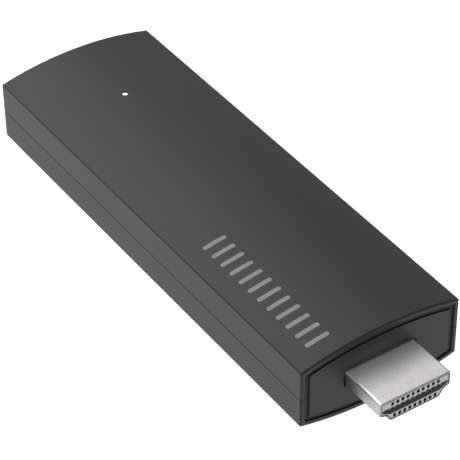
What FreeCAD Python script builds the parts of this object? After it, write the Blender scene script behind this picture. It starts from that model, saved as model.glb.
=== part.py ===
import FreeCAD, Part
import math
import os
import re
import Sketcher
from FreeCAD import Placement, Rotation, Vector

# A streaming stick: a crowned two-part case, an HDMI plug at one end, a power socket in the other,
# and the circuit board with its parts between them.
# Frame: +X is the way the plug points, +Z is up, and the origin lies under the middle of the whole
# stick, plug included, on the surface that it rests on. Lengths are in millimetres.

SIZES = (
    ("body_length", 93.8, "case, far end to plug end"),
    ("body_width", 31.2, "case, across"),
    ("side_height", 11.4, "flat side of the case"),
    ("crown_rise", 2.0, "rise of the top, and of the underside, over the flat sides"),
    ("cover_wall", 1.5, "wall of the covers"),
    ("edge_round", 0.3, "rounding of the outer edges"),
    ("seam_drop", 0.28, "seam of the covers, below half height"),
    ("seam_gap", 0.12, "seam of the covers, open width"),
    ("lip_thickness", 0.6, "lip of the top cover, inside the seam"),
    ("lip_depth", 1.2, "lip of the top cover, reach below the seam"),
    ("lip_clearance", 0.1, "round the lip"),
    ("seat_clearance", 0.05, "between pieces that seat in each other"),
    ("rim_width", 0.9, "rim of the case at the plug end"),
    ("groove_width", 0.8, "groove between rim and bezel face"),
    ("groove_depth", 0.45, "groove, from the rim to the bezel's flange"),
    ("bezel_flange", 1.2, "thickness of the bezel's flange"),
    ("plug_reach", 9.1, "plug, out of the case"),
    ("plug_width", 13.9, "plug, across"),
    ("plug_height", 4.45, "plug, upper face to lower face"),
    ("plug_side", 2.68, "upright side of the plug"),
    ("plug_foot", 9.6, "narrow lower face of the plug"),
    ("shoulder_width", 11.4, "plug, across where its flanks start"),
    ("shoulder_drop", 0.45, "fall from the upright side to the flank"),
    ("plug_drop", 0.7, "plug's middle, below the case's middle"),
    ("plug_gap", 0.22, "bezel to plug"),
    ("shell_wall", 0.3, "sheet of the plug's shell"),
    ("shell_round", 0.45, "outer corners of the plug's shell"),
    ("shell_lip_round", 0.14, "front edge of the plug's shell"),
    ("insulator_gap", 0.06, "shell to insulator"),
    ("insulator_recess", 0.08, "insulator, behind the shell's front edge"),
    ("slot_side_wall", 0.5, "slot's tips, from the plug's sides"),
    ("slot_roof_inset", 0.55, "slot's upper edge, shorter than its tips at each end"),
    ("slot_foot_inset", 0.75, "slot's lower edge, in from the plug's shoulders"),
    ("slot_above", 0.6, "slot, above the plug's middle"),
    ("slot_below", 0.75, "slot, below the plug's middle"),
    ("slot_tip_above", 0.48, "upper end of the slot's tips, above the plug's middle"),
    ("slot_tip_below", 0.05, "lower end of the slot's tips, above the plug's middle"),
    ("slot_depth", 7.0, "slot, front to back"),
    ("contact_pitch", 1.0, "contacts of a row"),
    ("upper_contacts", 10, "contacts in the upper row"),
    ("lower_contacts", 9, "contacts in the lower row"),
    ("contact_width", 0.4, "contact, across"),
    ("contact_thickness", 0.15, "contact strip"),
    ("contact_bow", 0.3, "contact's bow into the slot"),
    ("contact_bow_length", 3.0, "contact's bow, along the slot"),
    ("contact_setback", 1.0, "contact's tip, behind the plug's front"),
    ("contact_joggle", 1.0, "contact's bend, in front of the board and along the stick"),
    ("contact_tail", 1.5, "contact, on the board"),
    ("channel_width", 0.75, "contact channel in the insulator"),
    ("channel_depth", 0.32, "contact channel in the insulator"),
    ("window_width", 0.42, "window over a contact"),
    ("window_height", 0.55, "window over a contact"),
    ("window_depth", 1.5, "window over a contact"),
    ("upper_window_edge", 0.39, "upper windows, from the insulator's upper face"),
    ("lower_window_edge", 0.12, "lower windows, from the insulator's lower face"),
    ("leg_length", 3.0, "solder leg of the plug's shell"),
    ("leg_height", 1.6, "solder leg of the plug's shell"),
    ("leg_clearance", 0.15, "round a solder leg in the board"),
    ("board_thickness", 0.8, "circuit board"),
    ("board_side_gap", 1.1, "board to the side walls"),
    ("board_setback", 6.0, "board's front edge, behind the case's plug end"),
    ("board_end_gap", 0.4, "board to the far wall"),
    ("rib_width", 1.0, "ribs that hold the board"),
    ("rib_reach", 0.8, "ribs, in over the board's edge"),
    ("rib_margin", 4.0, "first and last rib, from the board's ends"),
    ("ribs_per_side", 4, "ribs along each side"),
    ("saddle_width", 8.0, "rib on the plug's shell, across"),
    ("saddle_setback", 4.0, "rib on the plug's shell, behind the case's plug end"),
    ("catch_length", 4.0, "snap catch on the lip"),
    ("catch_height", 0.5, "snap catch on the lip"),
    ("catch_depth", 0.3, "snap catch on the lip"),
    ("catches_per_side", 3, "snap catches along each side"),
    ("catch_margin", 15.0, "first and last catch, from the case's ends"),
    ("screw_radius", 0.7, "board screw's shank"),
    ("screw_head_radius", 1.5, "board screw's head"),
    ("screw_head_height", 0.8, "board screw's head"),
    ("screw_crown", 0.4, "bevel round the board screw's head"),
    ("screw_cross_span", 1.5, "cross in the board screw's head, tip to tip"),
    ("screw_cross_width", 0.27, "cross in the board screw's head, one arm"),
    ("screw_cross_depth", 0.4, "cross in the board screw's head"),
    ("screw_length", 3.6, "board screw, under its head"),
    ("screw_point", 0.35, "bevel round the board screw's end"),
    ("screw_clearance", 0.02, "round the shank in its boss"),
    ("screw_hole_radius", 0.95, "board screw's hole in the board"),
    ("boss_radius", 1.9, "screw boss"),
    ("screw_edge_gap", 3.5, "screws, from the board's edge"),
    ("rear_screw_setback", 12.0, "screw near the far end"),
    ("front_screw_setback", 11.5, "screw near the plug end"),
    ("light_setback", 17.55, "indicator, from the far end"),
    ("light_radius", 0.62, "light pipe"),
    ("light_clearance", 0.03, "round the light pipe"),
    ("light_recess", 0.2, "light pipe, below the top"),
    ("light_flange_radius", 1.2, "light pipe's flange"),
    ("light_flange_height", 0.6, "light pipe's flange"),
    ("light_sleeve_wall", 0.7, "sleeve round the flange"),
    ("light_sleeve_height", 1.5, "sleeve round the flange"),
    ("light_air", 0.3, "light pipe over the indicator"),
    ("indicator_length", 1.6, "indicator light"),
    ("indicator_width", 0.8, "indicator light"),
    ("indicator_height", 0.6, "indicator light"),
    ("button_setback", 24.0, "button, from the far end"),
    ("button_length", 5.0, "button's face"),
    ("button_height", 2.2, "button's face"),
    ("button_clearance", 0.12, "round the button"),
    ("button_recess", 0.1, "button's face, below the side"),
    ("button_round", 0.1, "edge of the button's face"),
    ("button_flange", 0.5, "button's flange, thickness"),
    ("button_overlap", 0.6, "button's flange, past its face all round"),
    ("button_travel", 0.25, "button, pressed home"),
    ("switch_length", 4.6, "switch housing"),
    ("switch_back", 0.9, "switch housing, behind its hollow"),
    ("switch_wall", 0.3, "switch housing, in front of its hollow and over it"),
    ("switch_axis", 2.2, "switch plunger, above the board"),
    ("switch_cavity", 0.9, "radius of the switch's hollow"),
    ("stem_radius", 0.6, "switch plunger's stem"),
    ("stem_free", 0.6, "switch plunger's stem, left clear when it is pressed"),
    ("plunger_head", 0.25, "switch plunger's head, thickness"),
    ("dome_thickness", 0.08, "switch's snap dome"),
    ("dome_rise", 0.3, "switch's snap dome"),
    ("usb_width", 7.6, "power socket's shell"),
    ("usb_height", 2.6, "power socket's shell"),
    ("usb_length", 5.6, "power socket's shell"),
    ("usb_foot", 5.8, "narrow side of the power socket's shell"),
    ("usb_upright", 1.7, "upright side of the power socket's shell"),
    ("usb_wall", 0.3, "sheet of the power socket's shell"),
    ("usb_inset", 0.6, "power socket, behind the far face"),
    ("usb_clearance", 0.3, "round the power socket in the covers"),
    ("usb_port_round", 0.6, "corners of the power socket's opening"),
    ("usb_notch_gap", 0.2, "round the power socket in the board"),
    ("usb_wing", 1.2, "solder wing of the power socket"),
    ("usb_wing_length", 1.4, "solder wing of the power socket"),
    ("usb_base", 1.2, "power socket's rear block"),
    ("usb_tongue_width", 3.8, "power socket's tongue"),
    ("usb_tongue_height", 0.45, "power socket's tongue"),
    ("usb_tongue_length", 3.6, "power socket's tongue"),
    ("usb_tongue_gap", 0.4, "power socket's tongue, below its shell"),
    ("usb_contact_count", 5, "power socket's contacts"),
    ("usb_contact_pitch", 0.65, "power socket's contacts"),
    ("usb_contact_width", 0.3, "power socket's contacts"),
    ("usb_contact_reach", 3.2, "power socket's contacts, along the tongue"),
    ("shield_setback", 11.3, "both shields, behind the board's front edge"),
    ("shield_edge_gap", 2.5, "both shields, from the board's edge"),
    ("shield_height", 1.6, "shield frames"),
    ("shield_wall", 0.2, "sheet of the shields"),
    ("lid_skirt", 1.0, "lid's turned-down edge"),
    ("chip_gap", 1.0, "chips under a shield, from each other and from its wall"),
    ("processor_side", 14.0, "processor"),
    ("processor_height", 1.0, "processor"),
    ("memory_length", 9.4, "memory chip"),
    ("memory_width", 7.6, "memory chip"),
    ("memory_height", 0.9, "memory chip"),
    ("pad_margin", 1.0, "thermal pad, inside the processor's edge"),
    ("spreader_gap", 0.7, "thermal pad on the shield's lid"),
    ("spreader_overhang", 6.6, "heat spreader, past the upper shield at each end"),
    ("spreader_thickness", 1.0, "heat spreader"),
    ("spreader_post_radius", 1.0, "posts of the top cover on the heat spreader"),
    ("spreader_post_margin", 2.5, "posts, from the spreader's edges"),
    ("flash_length", 11.5, "flash chip"),
    ("flash_width", 13.0, "flash chip"),
    ("flash_height", 1.0, "flash chip"),
    ("power_side", 6.0, "power chip"),
    ("power_height", 0.8, "power chip"),
    ("chip_chamfer", 0.12, "top edges of the chips"),
    ("wifi_start", 20.5, "wireless shield, from the far end"),
    ("wifi_margin", 2.5, "wireless shield, past its chip all round"),
    ("wifi_side_shift", -3.0, "wireless shield's middle, off the centre line"),
    ("wifi_chip_side", 6.0, "wireless chip"),
    ("wifi_chip_height", 0.8, "wireless chip"),
    ("antenna_setback", 4.0, "antennas, from the far end"),
    ("antenna_length", 12.0, "antenna"),
    ("antenna_height", 3.0, "antenna"),
    ("antenna_fold", 2.0, "antenna's folded top"),
    ("antenna_sheet", 0.3, "antenna's sheet"),
    ("antenna_foot", 1.5, "antenna's feet"),
    ("antenna_feet_apart", 3.75, "antenna's feet, one to the other"),
    ("antenna_lift", 1.0, "antenna's strip, above the board"),
    ("antenna_edge_gap", 1.1, "antenna, from the board's edge"),
    ("crystal_length", 3.2, "crystal"),
    ("crystal_width", 2.5, "crystal"),
    ("crystal_height", 0.7, "crystal"),
    ("crystal_start", 38.0, "crystals' middle, from the far end"),
    ("crystal_edge_gap", 5.5, "crystals, from the board's edge"),
    ("inductor_side", 4.0, "power inductor"),
    ("inductor_height", 1.8, "power inductor"),
    ("inductor_count", 3, "power inductors"),
    ("inductor_start", 20.0, "first inductor's middle, from the far end"),
    ("inductor_gap", 1.5, "inductor to inductor"),
    ("inductor_shift", -6.0, "inductors, off the centre line"),
    ("capacitor_length", 1.0, "chip capacitor"),
    ("capacitor_width", 0.5, "chip capacitor"),
    ("capacitor_height", 0.5, "chip capacitor"),
    ("capacitor_count", 8, "chip capacitors in the row"),
    ("resistor_length", 1.0, "chip resistor"),
    ("resistor_width", 0.5, "chip resistor"),
    ("resistor_height", 0.35, "chip resistor"),
    ("resistor_count", 10, "chip resistors in the row"),
    ("chip_row_pitch", 1.6, "small chips, one to the next"),
    ("chip_row_start", 21.0, "rows of small chips, from the far end"),
    ("capacitor_edge_gap", 7.0, "row of capacitors, from the board's edge"),
    ("resistor_edge_gap", 5.0, "row of resistors, from the board's edge"),
)

# Places that follow from the sizes, as expressions on the sheet's cells
FAR = "(-(body_length + plug_reach) / 2)"
FACE = f"({FAR} + body_length)"
TIP = f"({FACE} + plug_reach)"
MIDDLE = "(side_height / 2 + crown_rise)"
TOP = f"(2 * {MIDDLE})"
SEAM = f"({MIDDLE} - seam_drop)"
CROWN_RADIUS = "((body_width ^ 2 / 4 + crown_rise ^ 2) / (2 * crown_rise))"
INNER_SIDE = "(body_width / 2 - cover_wall)"
FLANGE_FRONT = f"({FACE} - groove_depth)"
FLANGE_BACK = f"({FLANGE_FRONT} - bezel_flange)"
PLUG_MIDDLE = f"({MIDDLE} - plug_drop)"
SLOT_ROOF = f"({PLUG_MIDDLE} + slot_above)"
SLOT_FLOOR = f"({PLUG_MIDDLE} - slot_below)"
BOARD_TOP = f"({PLUG_MIDDLE} + board_thickness / 2)"
BOARD_UNDER = f"({PLUG_MIDDLE} - board_thickness / 2)"
BOARD_FRONT = f"({FACE} - board_setback)"
BOARD_REAR = f"({FAR} + cover_wall + board_end_gap)"
BOARD_EDGE = f"({INNER_SIDE} - board_side_gap)"
LIGHT_X = f"({FAR} + light_setback)"
BUTTON_X = f"({FAR} + button_setback)"
BUTTON_Z = f"({BOARD_TOP} + switch_axis)"
FLANGE_REAR = f"({INNER_SIDE} - seat_clearance - button_flange)"
SWITCH_FRONT = f"({FLANGE_REAR} - button_travel - stem_free)"
SWITCH_CAVITY_DEPTH = "(2 * seat_clearance + plunger_head + button_travel + dome_rise + dome_thickness)"
SHIELD_END = f"({BOARD_FRONT} - shield_setback)"
SHIELD_LENGTH = "(processor_side + memory_length + 3 * chip_gap + 2 * shield_wall)"
SHIELD_WIDTH = f"(2 * ({BOARD_EDGE} - shield_edge_gap))"
SHIELD_X = f"({SHIELD_END} - {SHIELD_LENGTH} / 2)"
PROCESSOR_X = f"({SHIELD_END} - {SHIELD_LENGTH} + shield_wall + chip_gap + processor_side / 2)"
LOWER_LENGTH = "(flash_length + power_side + 3 * chip_gap + 2 * shield_wall)"
LID_TOP = f"({BOARD_TOP} + shield_height + shield_wall)"
SPREADER_UNDER = f"({LID_TOP} + spreader_gap)"
SPREADER_TOP = f"({SPREADER_UNDER} + spreader_thickness)"
SPREADER_LENGTH = f"({SHIELD_LENGTH} + 2 * spreader_overhang)"
WIFI_SIDE = "(wifi_chip_side + 2 * wifi_margin)"
WIFI_X = f"({FAR} + wifi_start + {WIFI_SIDE} / 2)"
USB_FRONT = f"({FAR} + usb_inset)"
USB_BACK = f"({USB_FRONT} + usb_length)"

# How far a cutter runs past what it cuts, and how near two places count as one
OVERRUN = 1
NEARLY = 0.001

# A sketch turned to lie across the stick, and a cylinder turned to lie along +Y
ACROSS = Rotation(Vector(0, 1, 0), Vector(0, 0, 1), Vector(1, 0, 0), "ZXY")
TO_RIGHT = Rotation(Vector(1, 0, 0), -90)

doc = FreeCAD.newDocument("StreamingStick")
sheet = doc.addObject("Spreadsheet::Sheet", "Sizes")
nodes = []


def fill_sheet():
    """Write each size into the sheet: its meaning, its number and its alias."""
    for row, (alias, number, meaning) in enumerate(SIZES, start=1):
        sheet.set(f"A{row}", meaning)
        sheet.set(f"B{row}", str(number))
        sheet.setAlias(f"B{row}", alias)
    doc.recompute()


def cells(text):
    """The expression with each size's name pointing at its cell."""
    return re.sub(r"\b([a-z]+(?:_[a-z]+)+)\b", r"Sizes.\1", str(text))


def number(text):
    """What an expression comes to now."""
    return float(sheet.evalExpression(cells(text)))


def count(alias):
    return int(round(number(alias)))


def bind(thing, prop, text):
    thing.setExpression(prop, cells(text))


def move_to(thing, x, y, z, turn=None):
    """Bind a thing's place to three expressions, after turning it."""
    if turn is not None:
        thing.Placement = Placement(Vector(), turn)
    bind(thing, "Placement.Base.x", x)
    bind(thing, "Placement.Base.y", y)
    bind(thing, "Placement.Base.z", z)


def node(label, thing):
    """Give a finished sub-part the label that names its file."""
    thing.Label = label
    nodes.append(thing)
    return thing


# Primitives and booleans

def block(name, middle, low, length, width, height):
    """Box over the point middle = (x, y), which is the middle of its length and width."""
    box = doc.addObject("Part::Box", name)
    bind(box, "Length", length)
    bind(box, "Width", width)
    bind(box, "Height", height)
    across, along = middle
    move_to(box, f"{across} - ({length}) / 2", f"{along} - ({width}) / 2", low)
    return box


def slab(name, low, high):
    """Box from its lowest corner to its highest."""
    box = doc.addObject("Part::Box", name)
    for prop, start, end in zip(("Length", "Width", "Height"), low, high):
        bind(box, prop, f"({end}) - ({start})")
    move_to(box, *low)
    return box


def rod(name, foot, radius, length, turn=None):
    """Cylinder that stands on the point foot, along Z unless it is turned."""
    cylinder = doc.addObject("Part::Cylinder", name)
    bind(cylinder, "Radius", radius)
    bind(cylinder, "Height", length)
    move_to(cylinder, *foot, turn)
    return cylinder


def fuse(name, *things):
    joined = doc.addObject("Part::MultiFuse", name)
    joined.Shapes = list(things)
    joined.Refine = True
    return joined


def cut(name, base, *tools):
    result = doc.addObject("Part::Cut", name)
    result.Base = base
    result.Tool = tools[0] if len(tools) == 1 else fuse(f"{name}_tools", *tools)
    result.Refine = True
    return result


def common(name, first, second):
    result = doc.addObject("Part::Common", name)
    result.Base = first
    result.Tool = second
    result.Refine = True
    return result


def group(name, things):
    """Separate solids of one kind, kept together."""
    compound = doc.addObject("Part::Compound", name)
    compound.Links = list(things)
    return compound


def rounded(name, base, radius, wanted):
    """Round the edges of base for which wanted(edge) is true."""
    doc.recompute()
    size = number(radius)
    picked = [i for i, edge in enumerate(base.Shape.Edges, start=1) if wanted(edge)]
    fillet = doc.addObject("Part::Fillet", name)
    fillet.Base = base
    fillet.Edges = [(i, size, size) for i in picked]
    return fillet


def chamfered(name, base, size, wanted):
    """Bevel the edges of base for which wanted(edge) is true."""
    doc.recompute()
    width = number(size)
    picked = [i for i, edge in enumerate(base.Shape.Edges, start=1) if wanted(edge)]
    bevel = doc.addObject("Part::Chamfer", name)
    bevel.Base = base
    bevel.Edges = [(i, width, width) for i in picked]
    return bevel


def runs_along(edge, axis):
    """True for an edge parallel to the axis, named x, y or z."""
    box = edge.BoundBox
    spans = {"x": box.XLength, "y": box.YLength, "z": box.ZLength}
    length = spans.pop(axis)
    return length > NEARLY and max(spans.values()) < NEARLY


# Sketches and the solids pushed from them

def arc_between(start, end, radius):
    """Arc from start to end that turns left, bulging away from its centre."""
    chord = end - start
    half = chord.Length / 2
    inward = Vector(-chord.y, chord.x, 0).normalize()
    centre = (start + end) / 2 + inward * math.sqrt(max(radius * radius - half * half, 0))
    first = math.atan2(start.y - centre.y, start.x - centre.x)
    last = math.atan2(end.y - centre.y, end.x - centre.x)
    return Part.ArcOfCircle(Part.Circle(centre, Vector(0, 0, 1), radius), first, last)


def draw(sketch, corners):
    """Closed outline through the corners, counterclockwise. A corner is (across, up), or
    (across, up, radius) where the stretch to the next corner is an arc. Each is bound to the sheet."""
    points = [Vector(number(corner[0]), number(corner[1]), 0) for corner in corners]
    lines = []
    for i, corner in enumerate(corners):
        start, end = points[i], points[(i + 1) % len(points)]
        if len(corner) == 3:
            stretch = arc_between(start, end, number(corner[2]))
        else:
            stretch = Part.LineSegment(start, end)
        lines.append(sketch.addGeometry(stretch, False))
    for i, line in enumerate(lines):
        sketch.addConstraint(Sketcher.Constraint("Coincident", lines[i - 1], 2, line, 1))
    for i, (line, corner) in enumerate(zip(lines, corners)):
        first = lines[0]
        for kind, word, text, place in (
            ("DistanceX", "across", corner[0], points[i].x),
            ("DistanceY", "up", corner[1], points[i].y),
        ):
            index = sketch.addConstraint(Sketcher.Constraint(kind, -1, 1, line, 1, place))
            sketch.renameConstraint(index, f"{word}{first}_{i}")
            bind(sketch, f"Constraints.{word}{first}_{i}", text)
        if len(corner) == 3:
            index = sketch.addConstraint(Sketcher.Constraint("Radius", line, number(corner[2])))
            sketch.renameConstraint(index, f"radius{first}_{i}")
            bind(sketch, f"Constraints.radius{first}_{i}", corner[2])


def draw_circle(sketch, index, across, up, radius):
    """Circle whose centre and radius are bound to the sheet."""
    centre = Vector(number(across), number(up), 0)
    ring = sketch.addGeometry(Part.Circle(centre, Vector(0, 0, 1), number(radius)), False)
    for word, text, constraint in (
        ("across", across, Sketcher.Constraint("DistanceX", -1, 1, ring, 3, centre.x)),
        ("up", up, Sketcher.Constraint("DistanceY", -1, 1, ring, 3, centre.y)),
        ("radius", radius, Sketcher.Constraint("Radius", ring, number(radius))),
    ):
        sketch.renameConstraint(sketch.addConstraint(constraint), f"{word}_{index}")
        bind(sketch, f"Constraints.{word}_{index}", text)


def cross_section(name, corners):
    """Loose sketch across the stick, in the plane through the origin."""
    sketch = doc.addObject("Sketcher::SketchObject", name)
    sketch.Placement = Placement(Vector(), ACROSS)
    draw(sketch, corners)
    return sketch


def grown(name, sketch, amount):
    """The sketch's outline moved out by amount, or in where it is negative, with sharp corners."""
    offset = doc.addObject("Part::Offset2D", name)
    offset.Source = sketch
    offset.Join = "Intersection"
    bind(offset, "Value", amount)
    return offset


def prism(name, profile, start, end):
    """Cross-section pushed along X from start to end."""
    solid = doc.addObject("Part::Extrusion", name)
    solid.Base = profile
    solid.DirMode = "Custom"
    solid.Dir = Vector(1, 0, 0)
    solid.Solid = True
    bind(solid, "LengthFwd", end)
    bind(solid, "LengthRev", f"-({start})")
    return solid


def origin_feature(body, role):
    return [feature for feature in body.Origin.OriginFeatures if feature.Role == role][0]


def body_sketch(body, name, plane, place, outlines):
    """Sketch on one of the body's origin planes, moved along that plane's normal."""
    sketch = body.newObject("Sketcher::SketchObject", name)
    sketch.AttachmentSupport = [(origin_feature(body, f"{plane}_Plane"), "")]
    sketch.MapMode = "FlatFace"
    bind(sketch, "AttachmentOffset.Base.z", place)
    for corners in outlines:
        draw(sketch, corners)
    return sketch


def rectangle(low, high):
    """Corners of an upright rectangle, from two opposite ones."""
    return [(low[0], low[1]), (high[0], low[1]), (high[0], high[1]), (low[0], high[1])]


def pad(body, name, sketch, length, both_ways=False):
    feature = body.newObject("PartDesign::Pad", name)
    feature.Profile = sketch
    feature.SideType = "Symmetric" if both_ways else "One side"
    bind(feature, "Length", length)
    return feature


def pocket(body, name, sketch, length, both_ways=False):
    """Cut the sketch out of the body, against the sketch's normal, and check that it cut."""
    doc.recompute()
    before = body.Shape.Volume
    feature = body.newObject("PartDesign::Pocket", name)
    feature.Profile = sketch
    feature.SideType = "Symmetric" if both_ways else "One side"
    bind(feature, "Length", length)
    doc.recompute()
    if not body.Shape.Volume < before:
        raise RuntimeError(f"{name} cut nothing")
    return feature


def row_of(body, name, feature, axis, pitch, copies):
    """Repeat a feature along an axis of the body."""
    pattern = body.newObject("PartDesign::LinearPattern", name)
    pattern.Originals = [feature]
    pattern.Direction = (origin_feature(body, f"{axis}_Axis"), [""])
    bind(pattern, "Occurrences", copies)
    bind(pattern, "Length", f"{pitch} * ({copies} - 1)")
    body.Tip = pattern
    return pattern


def new_body(name):
    return doc.addObject("PartDesign::Body", name)


def turned(body, name, outline):
    """Turn a half outline, drawn in the XZ plane beside the Z axis, into a round solid."""
    sketch = body_sketch(body, f"{name}_half", "XZ", "0", [outline])
    feature = body.newObject("PartDesign::Revolution", name)
    feature.Profile = sketch
    feature.ReferenceAxis = (sketch, ["V_Axis"])
    feature.Angle = 360
    return feature


# The case

def case_outline():
    """Section of the case: upright sides, and a crowned top and underside of one radius."""
    low = f"{MIDDLE} - side_height / 2"
    high = f"{MIDDLE} + side_height / 2"
    left, right = "-body_width / 2", "body_width / 2"
    return cross_section("case_outline", [
        (left, low, CROWN_RADIUS),
        (right, low),
        (right, high, CROWN_RADIUS),
        (left, high),
    ])


def case_blank(outline):
    """Both covers in one: the rounded block with its hollow and the seat of the bezel."""
    solid = rounded("case_block", prism("case_solid", outline, FAR, FACE), "edge_round", lambda edge: True)
    hollow = prism(
        "case_hollow", grown("hollow_outline", outline, "-cover_wall"),
        f"{FAR} + cover_wall", f"{FACE} + {OVERRUN}",
    )
    seat = prism(
        "bezel_seat", grown("seat_outline", outline, "-rim_width"), FLANGE_BACK, f"{FACE} + {OVERRUN}"
    )
    port = rounded(
        "usb_port",
        block(
            "usb_port_block", (FAR, "0"), f"{PLUG_MIDDLE} - usb_height / 2 - usb_clearance",
            "4 * cover_wall", "usb_width + 2 * usb_clearance", "usb_height + 2 * usb_clearance",
        ),
        "usb_port_round",
        lambda edge: runs_along(edge, "x"),
    )
    return cut("case_blank", solid, hollow, seat, port)


def case_core(outline):
    """What ribs and bosses are trimmed to, so that they end inside the walls."""
    return prism(
        "case_core", grown("core_outline", outline, "-cover_wall / 2"), f"{FAR} + cover_wall / 2", FLANGE_BACK
    )


def half_space(name, low, high):
    """Block over the whole case between two heights."""
    return slab(name, (f"{FAR} - {OVERRUN}", "-body_width", low), (f"{TIP} + {OVERRUN}", "body_width", high))


def along_sides(name, places, make):
    """Make one piece at each place along X, on both sides: side is 1 or -1."""
    return [make(f"{name}_{i}_{'right' if side > 0 else 'left'}", x, side)
            for i, x in enumerate(places) for side in (1, -1)]


def spread(first, last, copies):
    """Places along X, evenly from the first to the last."""
    return [f"({first} + {i} * ({last} - ({first})) / ({copies} - 1))" for i in range(count(copies))]


def rib_places():
    return spread(f"{BOARD_REAR} + rib_margin", f"{BOARD_FRONT} - rib_margin", "ribs_per_side")


def side_block(name, x, side, length, inner, outer, low, high):
    """Box centred on x along the stick, between two distances from the centre line."""
    near, far = (inner, outer) if side > 0 else (f"-({outer})", f"-({inner})")
    return slab(name, (f"{x} - {length} / 2", near, low), (f"{x} + {length} / 2", far, high))


def screw_places():
    off_centre = f"({BOARD_EDGE} - screw_edge_gap)"
    return [
        (f"{FAR} + rear_screw_setback", f"-{off_centre}"),
        (f"{FACE} - front_screw_setback", off_centre),
    ]


def catch_blocks(name, grow):
    """Snap catches on the lip. The pockets that take them are the same, grown all round."""
    low = f"{SEAM} - lip_depth - {grow}"
    return along_sides(
        name,
        spread(f"{FAR} + catch_margin", f"{FACE} - catch_margin", "catches_per_side"),
        lambda part, x, side: side_block(
            part, x, side, f"(catch_length + 2 * {grow})", INNER_SIDE,
            f"{INNER_SIDE} + lip_thickness + catch_depth + {grow}",
            low, f"{low} + catch_height + 2 * {grow}",
        ),
    )


def lip_blocks(name, grow):
    """The lip inside the seam, along both sides. Its rebate is the same, grown all round."""
    start = f"{FAR} + cover_wall + lip_clearance - {grow}"
    end = f"{FLANGE_BACK} - lip_clearance + {grow}"
    low = f"{SEAM} - lip_depth - {grow}"
    outer = f"({INNER_SIDE} + lip_thickness + {grow})"
    high = f"({SEAM} + seam_gap)"
    return [
        slab(f"{name}_right", (start, INNER_SIDE, low), (end, outer, high)),
        slab(f"{name}_left", (start, f"-{outer}", low), (end, f"-{INNER_SIDE}", high)),
    ]


def top_cover(blank, core):
    shell = common(
        "top_shell", blank, half_space("above_seam", f"{SEAM} + seam_gap / 2", f"{TOP} + {OVERRUN}")
    )
    ribs = along_sides(
        "top_rib",
        rib_places(),
        lambda part, x, side: side_block(
            part, x, side, "rib_width", f"({BOARD_EDGE} - rib_reach)", "body_width / 2", BOARD_TOP, TOP
        ),
    )
    posts = [
        rod(
            f"spreader_post_{across}_{along}",
            (
                f"{SHIELD_X} + {across} * ({SPREADER_LENGTH} / 2 - spreader_post_margin)",
                f"{along} * ({SHIELD_WIDTH} / 2 - spreader_post_margin)",
                SPREADER_TOP,
            ),
            "spreader_post_radius",
            f"{TOP} - {SPREADER_TOP}",
        )
        for across in (-1, 1) for along in (-1, 1)
    ]
    saddle = block(
        "top_saddle", (f"{FACE} - saddle_setback", "0"), f"{PLUG_MIDDLE} + plug_height / 2",
        "rib_width", "saddle_width", f"{TOP} - {PLUG_MIDDLE} - plug_height / 2",
    )
    sleeve = rod(
        "light_sleeve", (LIGHT_X, "0", f"{TOP} - cover_wall - light_sleeve_height"),
        "light_flange_radius + seat_clearance + light_sleeve_wall", "cover_wall + light_sleeve_height",
    )
    inside = common("top_inside", fuse("top_ribs", *ribs, *posts, saddle, sleeve), core)
    whole = fuse("top_whole", shell, inside, *lip_blocks("lip", "0"), *catch_blocks("catch", "0"))
    light_hole = rod(
        "light_hole", (LIGHT_X, "0", f"{TOP} - 2 * cover_wall"), "light_radius + light_clearance",
        "3 * cover_wall",
    )
    flange_seat = rod(
        "light_flange_seat", (LIGHT_X, "0", f"{TOP} - 3 * cover_wall"),
        "light_flange_radius + seat_clearance", "2 * cover_wall",
    )
    button_hole = stadium(
        "button_hole", "button_length + 2 * button_clearance", "button_height + 2 * button_clearance",
        f"{INNER_SIDE} - seat_clearance", "2 * cover_wall",
    )
    node("top_cover", cut("TopCover", whole, light_hole, flange_seat, button_hole))


def bottom_cover(blank, core):
    shell = common(
        "bottom_shell", blank, half_space("below_seam", f"-{OVERRUN}", f"{SEAM} - seam_gap / 2")
    )
    ribs = along_sides(
        "bottom_rib",
        rib_places(),
        lambda part, x, side: side_block(
            part, x, side, "rib_width", f"({BOARD_EDGE} - rib_reach)", INNER_SIDE, "0", BOARD_UNDER
        ),
    )
    saddle = block(
        "bottom_saddle", (f"{FACE} - saddle_setback", "0"), "0",
        "rib_width", "saddle_width", f"{PLUG_MIDDLE} - plug_height / 2",
    )
    bosses = [
        rod(f"boss_{i}", (x, y, "0"), "boss_radius", BOARD_UNDER)
        for i, (x, y) in enumerate(screw_places())
    ]
    inside = common("bottom_inside", fuse("bottom_ribs", *ribs, saddle, *bosses), core)
    pilots = [
        rod(
            f"pilot_{i}", (x, y, f"{BOARD_TOP} - screw_length - screw_clearance"),
            "screw_radius + screw_clearance", "screw_length",
        )
        for i, (x, y) in enumerate(screw_places())
    ]
    rebate = lip_blocks("rebate", "lip_clearance")
    pockets = catch_blocks("catch_pocket", "lip_clearance")
    hollowed = cut("bottom_hollowed", shell, *rebate, *pockets)
    node("bottom_cover", cut("BottomCover", fuse("bottom_whole", hollowed, inside), *pilots))


def front_bezel(outline, plug):
    """Stepped plate: a flange seated behind the rim, and a raised face level with the rim."""
    flange = prism(
        "bezel_flange_plate", grown("flange_outline", outline, "-(rim_width + seat_clearance)"),
        f"{FLANGE_BACK} + seat_clearance", FLANGE_FRONT,
    )
    face = prism(
        "bezel_face_plate", grown("face_outline", outline, "-(rim_width + groove_width)"), FLANGE_FRONT, FACE
    )
    hole = rounded(
        "plug_hole",
        prism(
            "plug_hole_sharp", grown("hole_outline", plug, "plug_gap"),
            f"{FLANGE_BACK} - {OVERRUN}", f"{FACE} + {OVERRUN}",
        ),
        "shell_round",
        lambda edge: runs_along(edge, "x"),
    )
    node("front_bezel", cut("FrontBezel", fuse("bezel_plates", flange, face), hole))


# The HDMI plug

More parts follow.
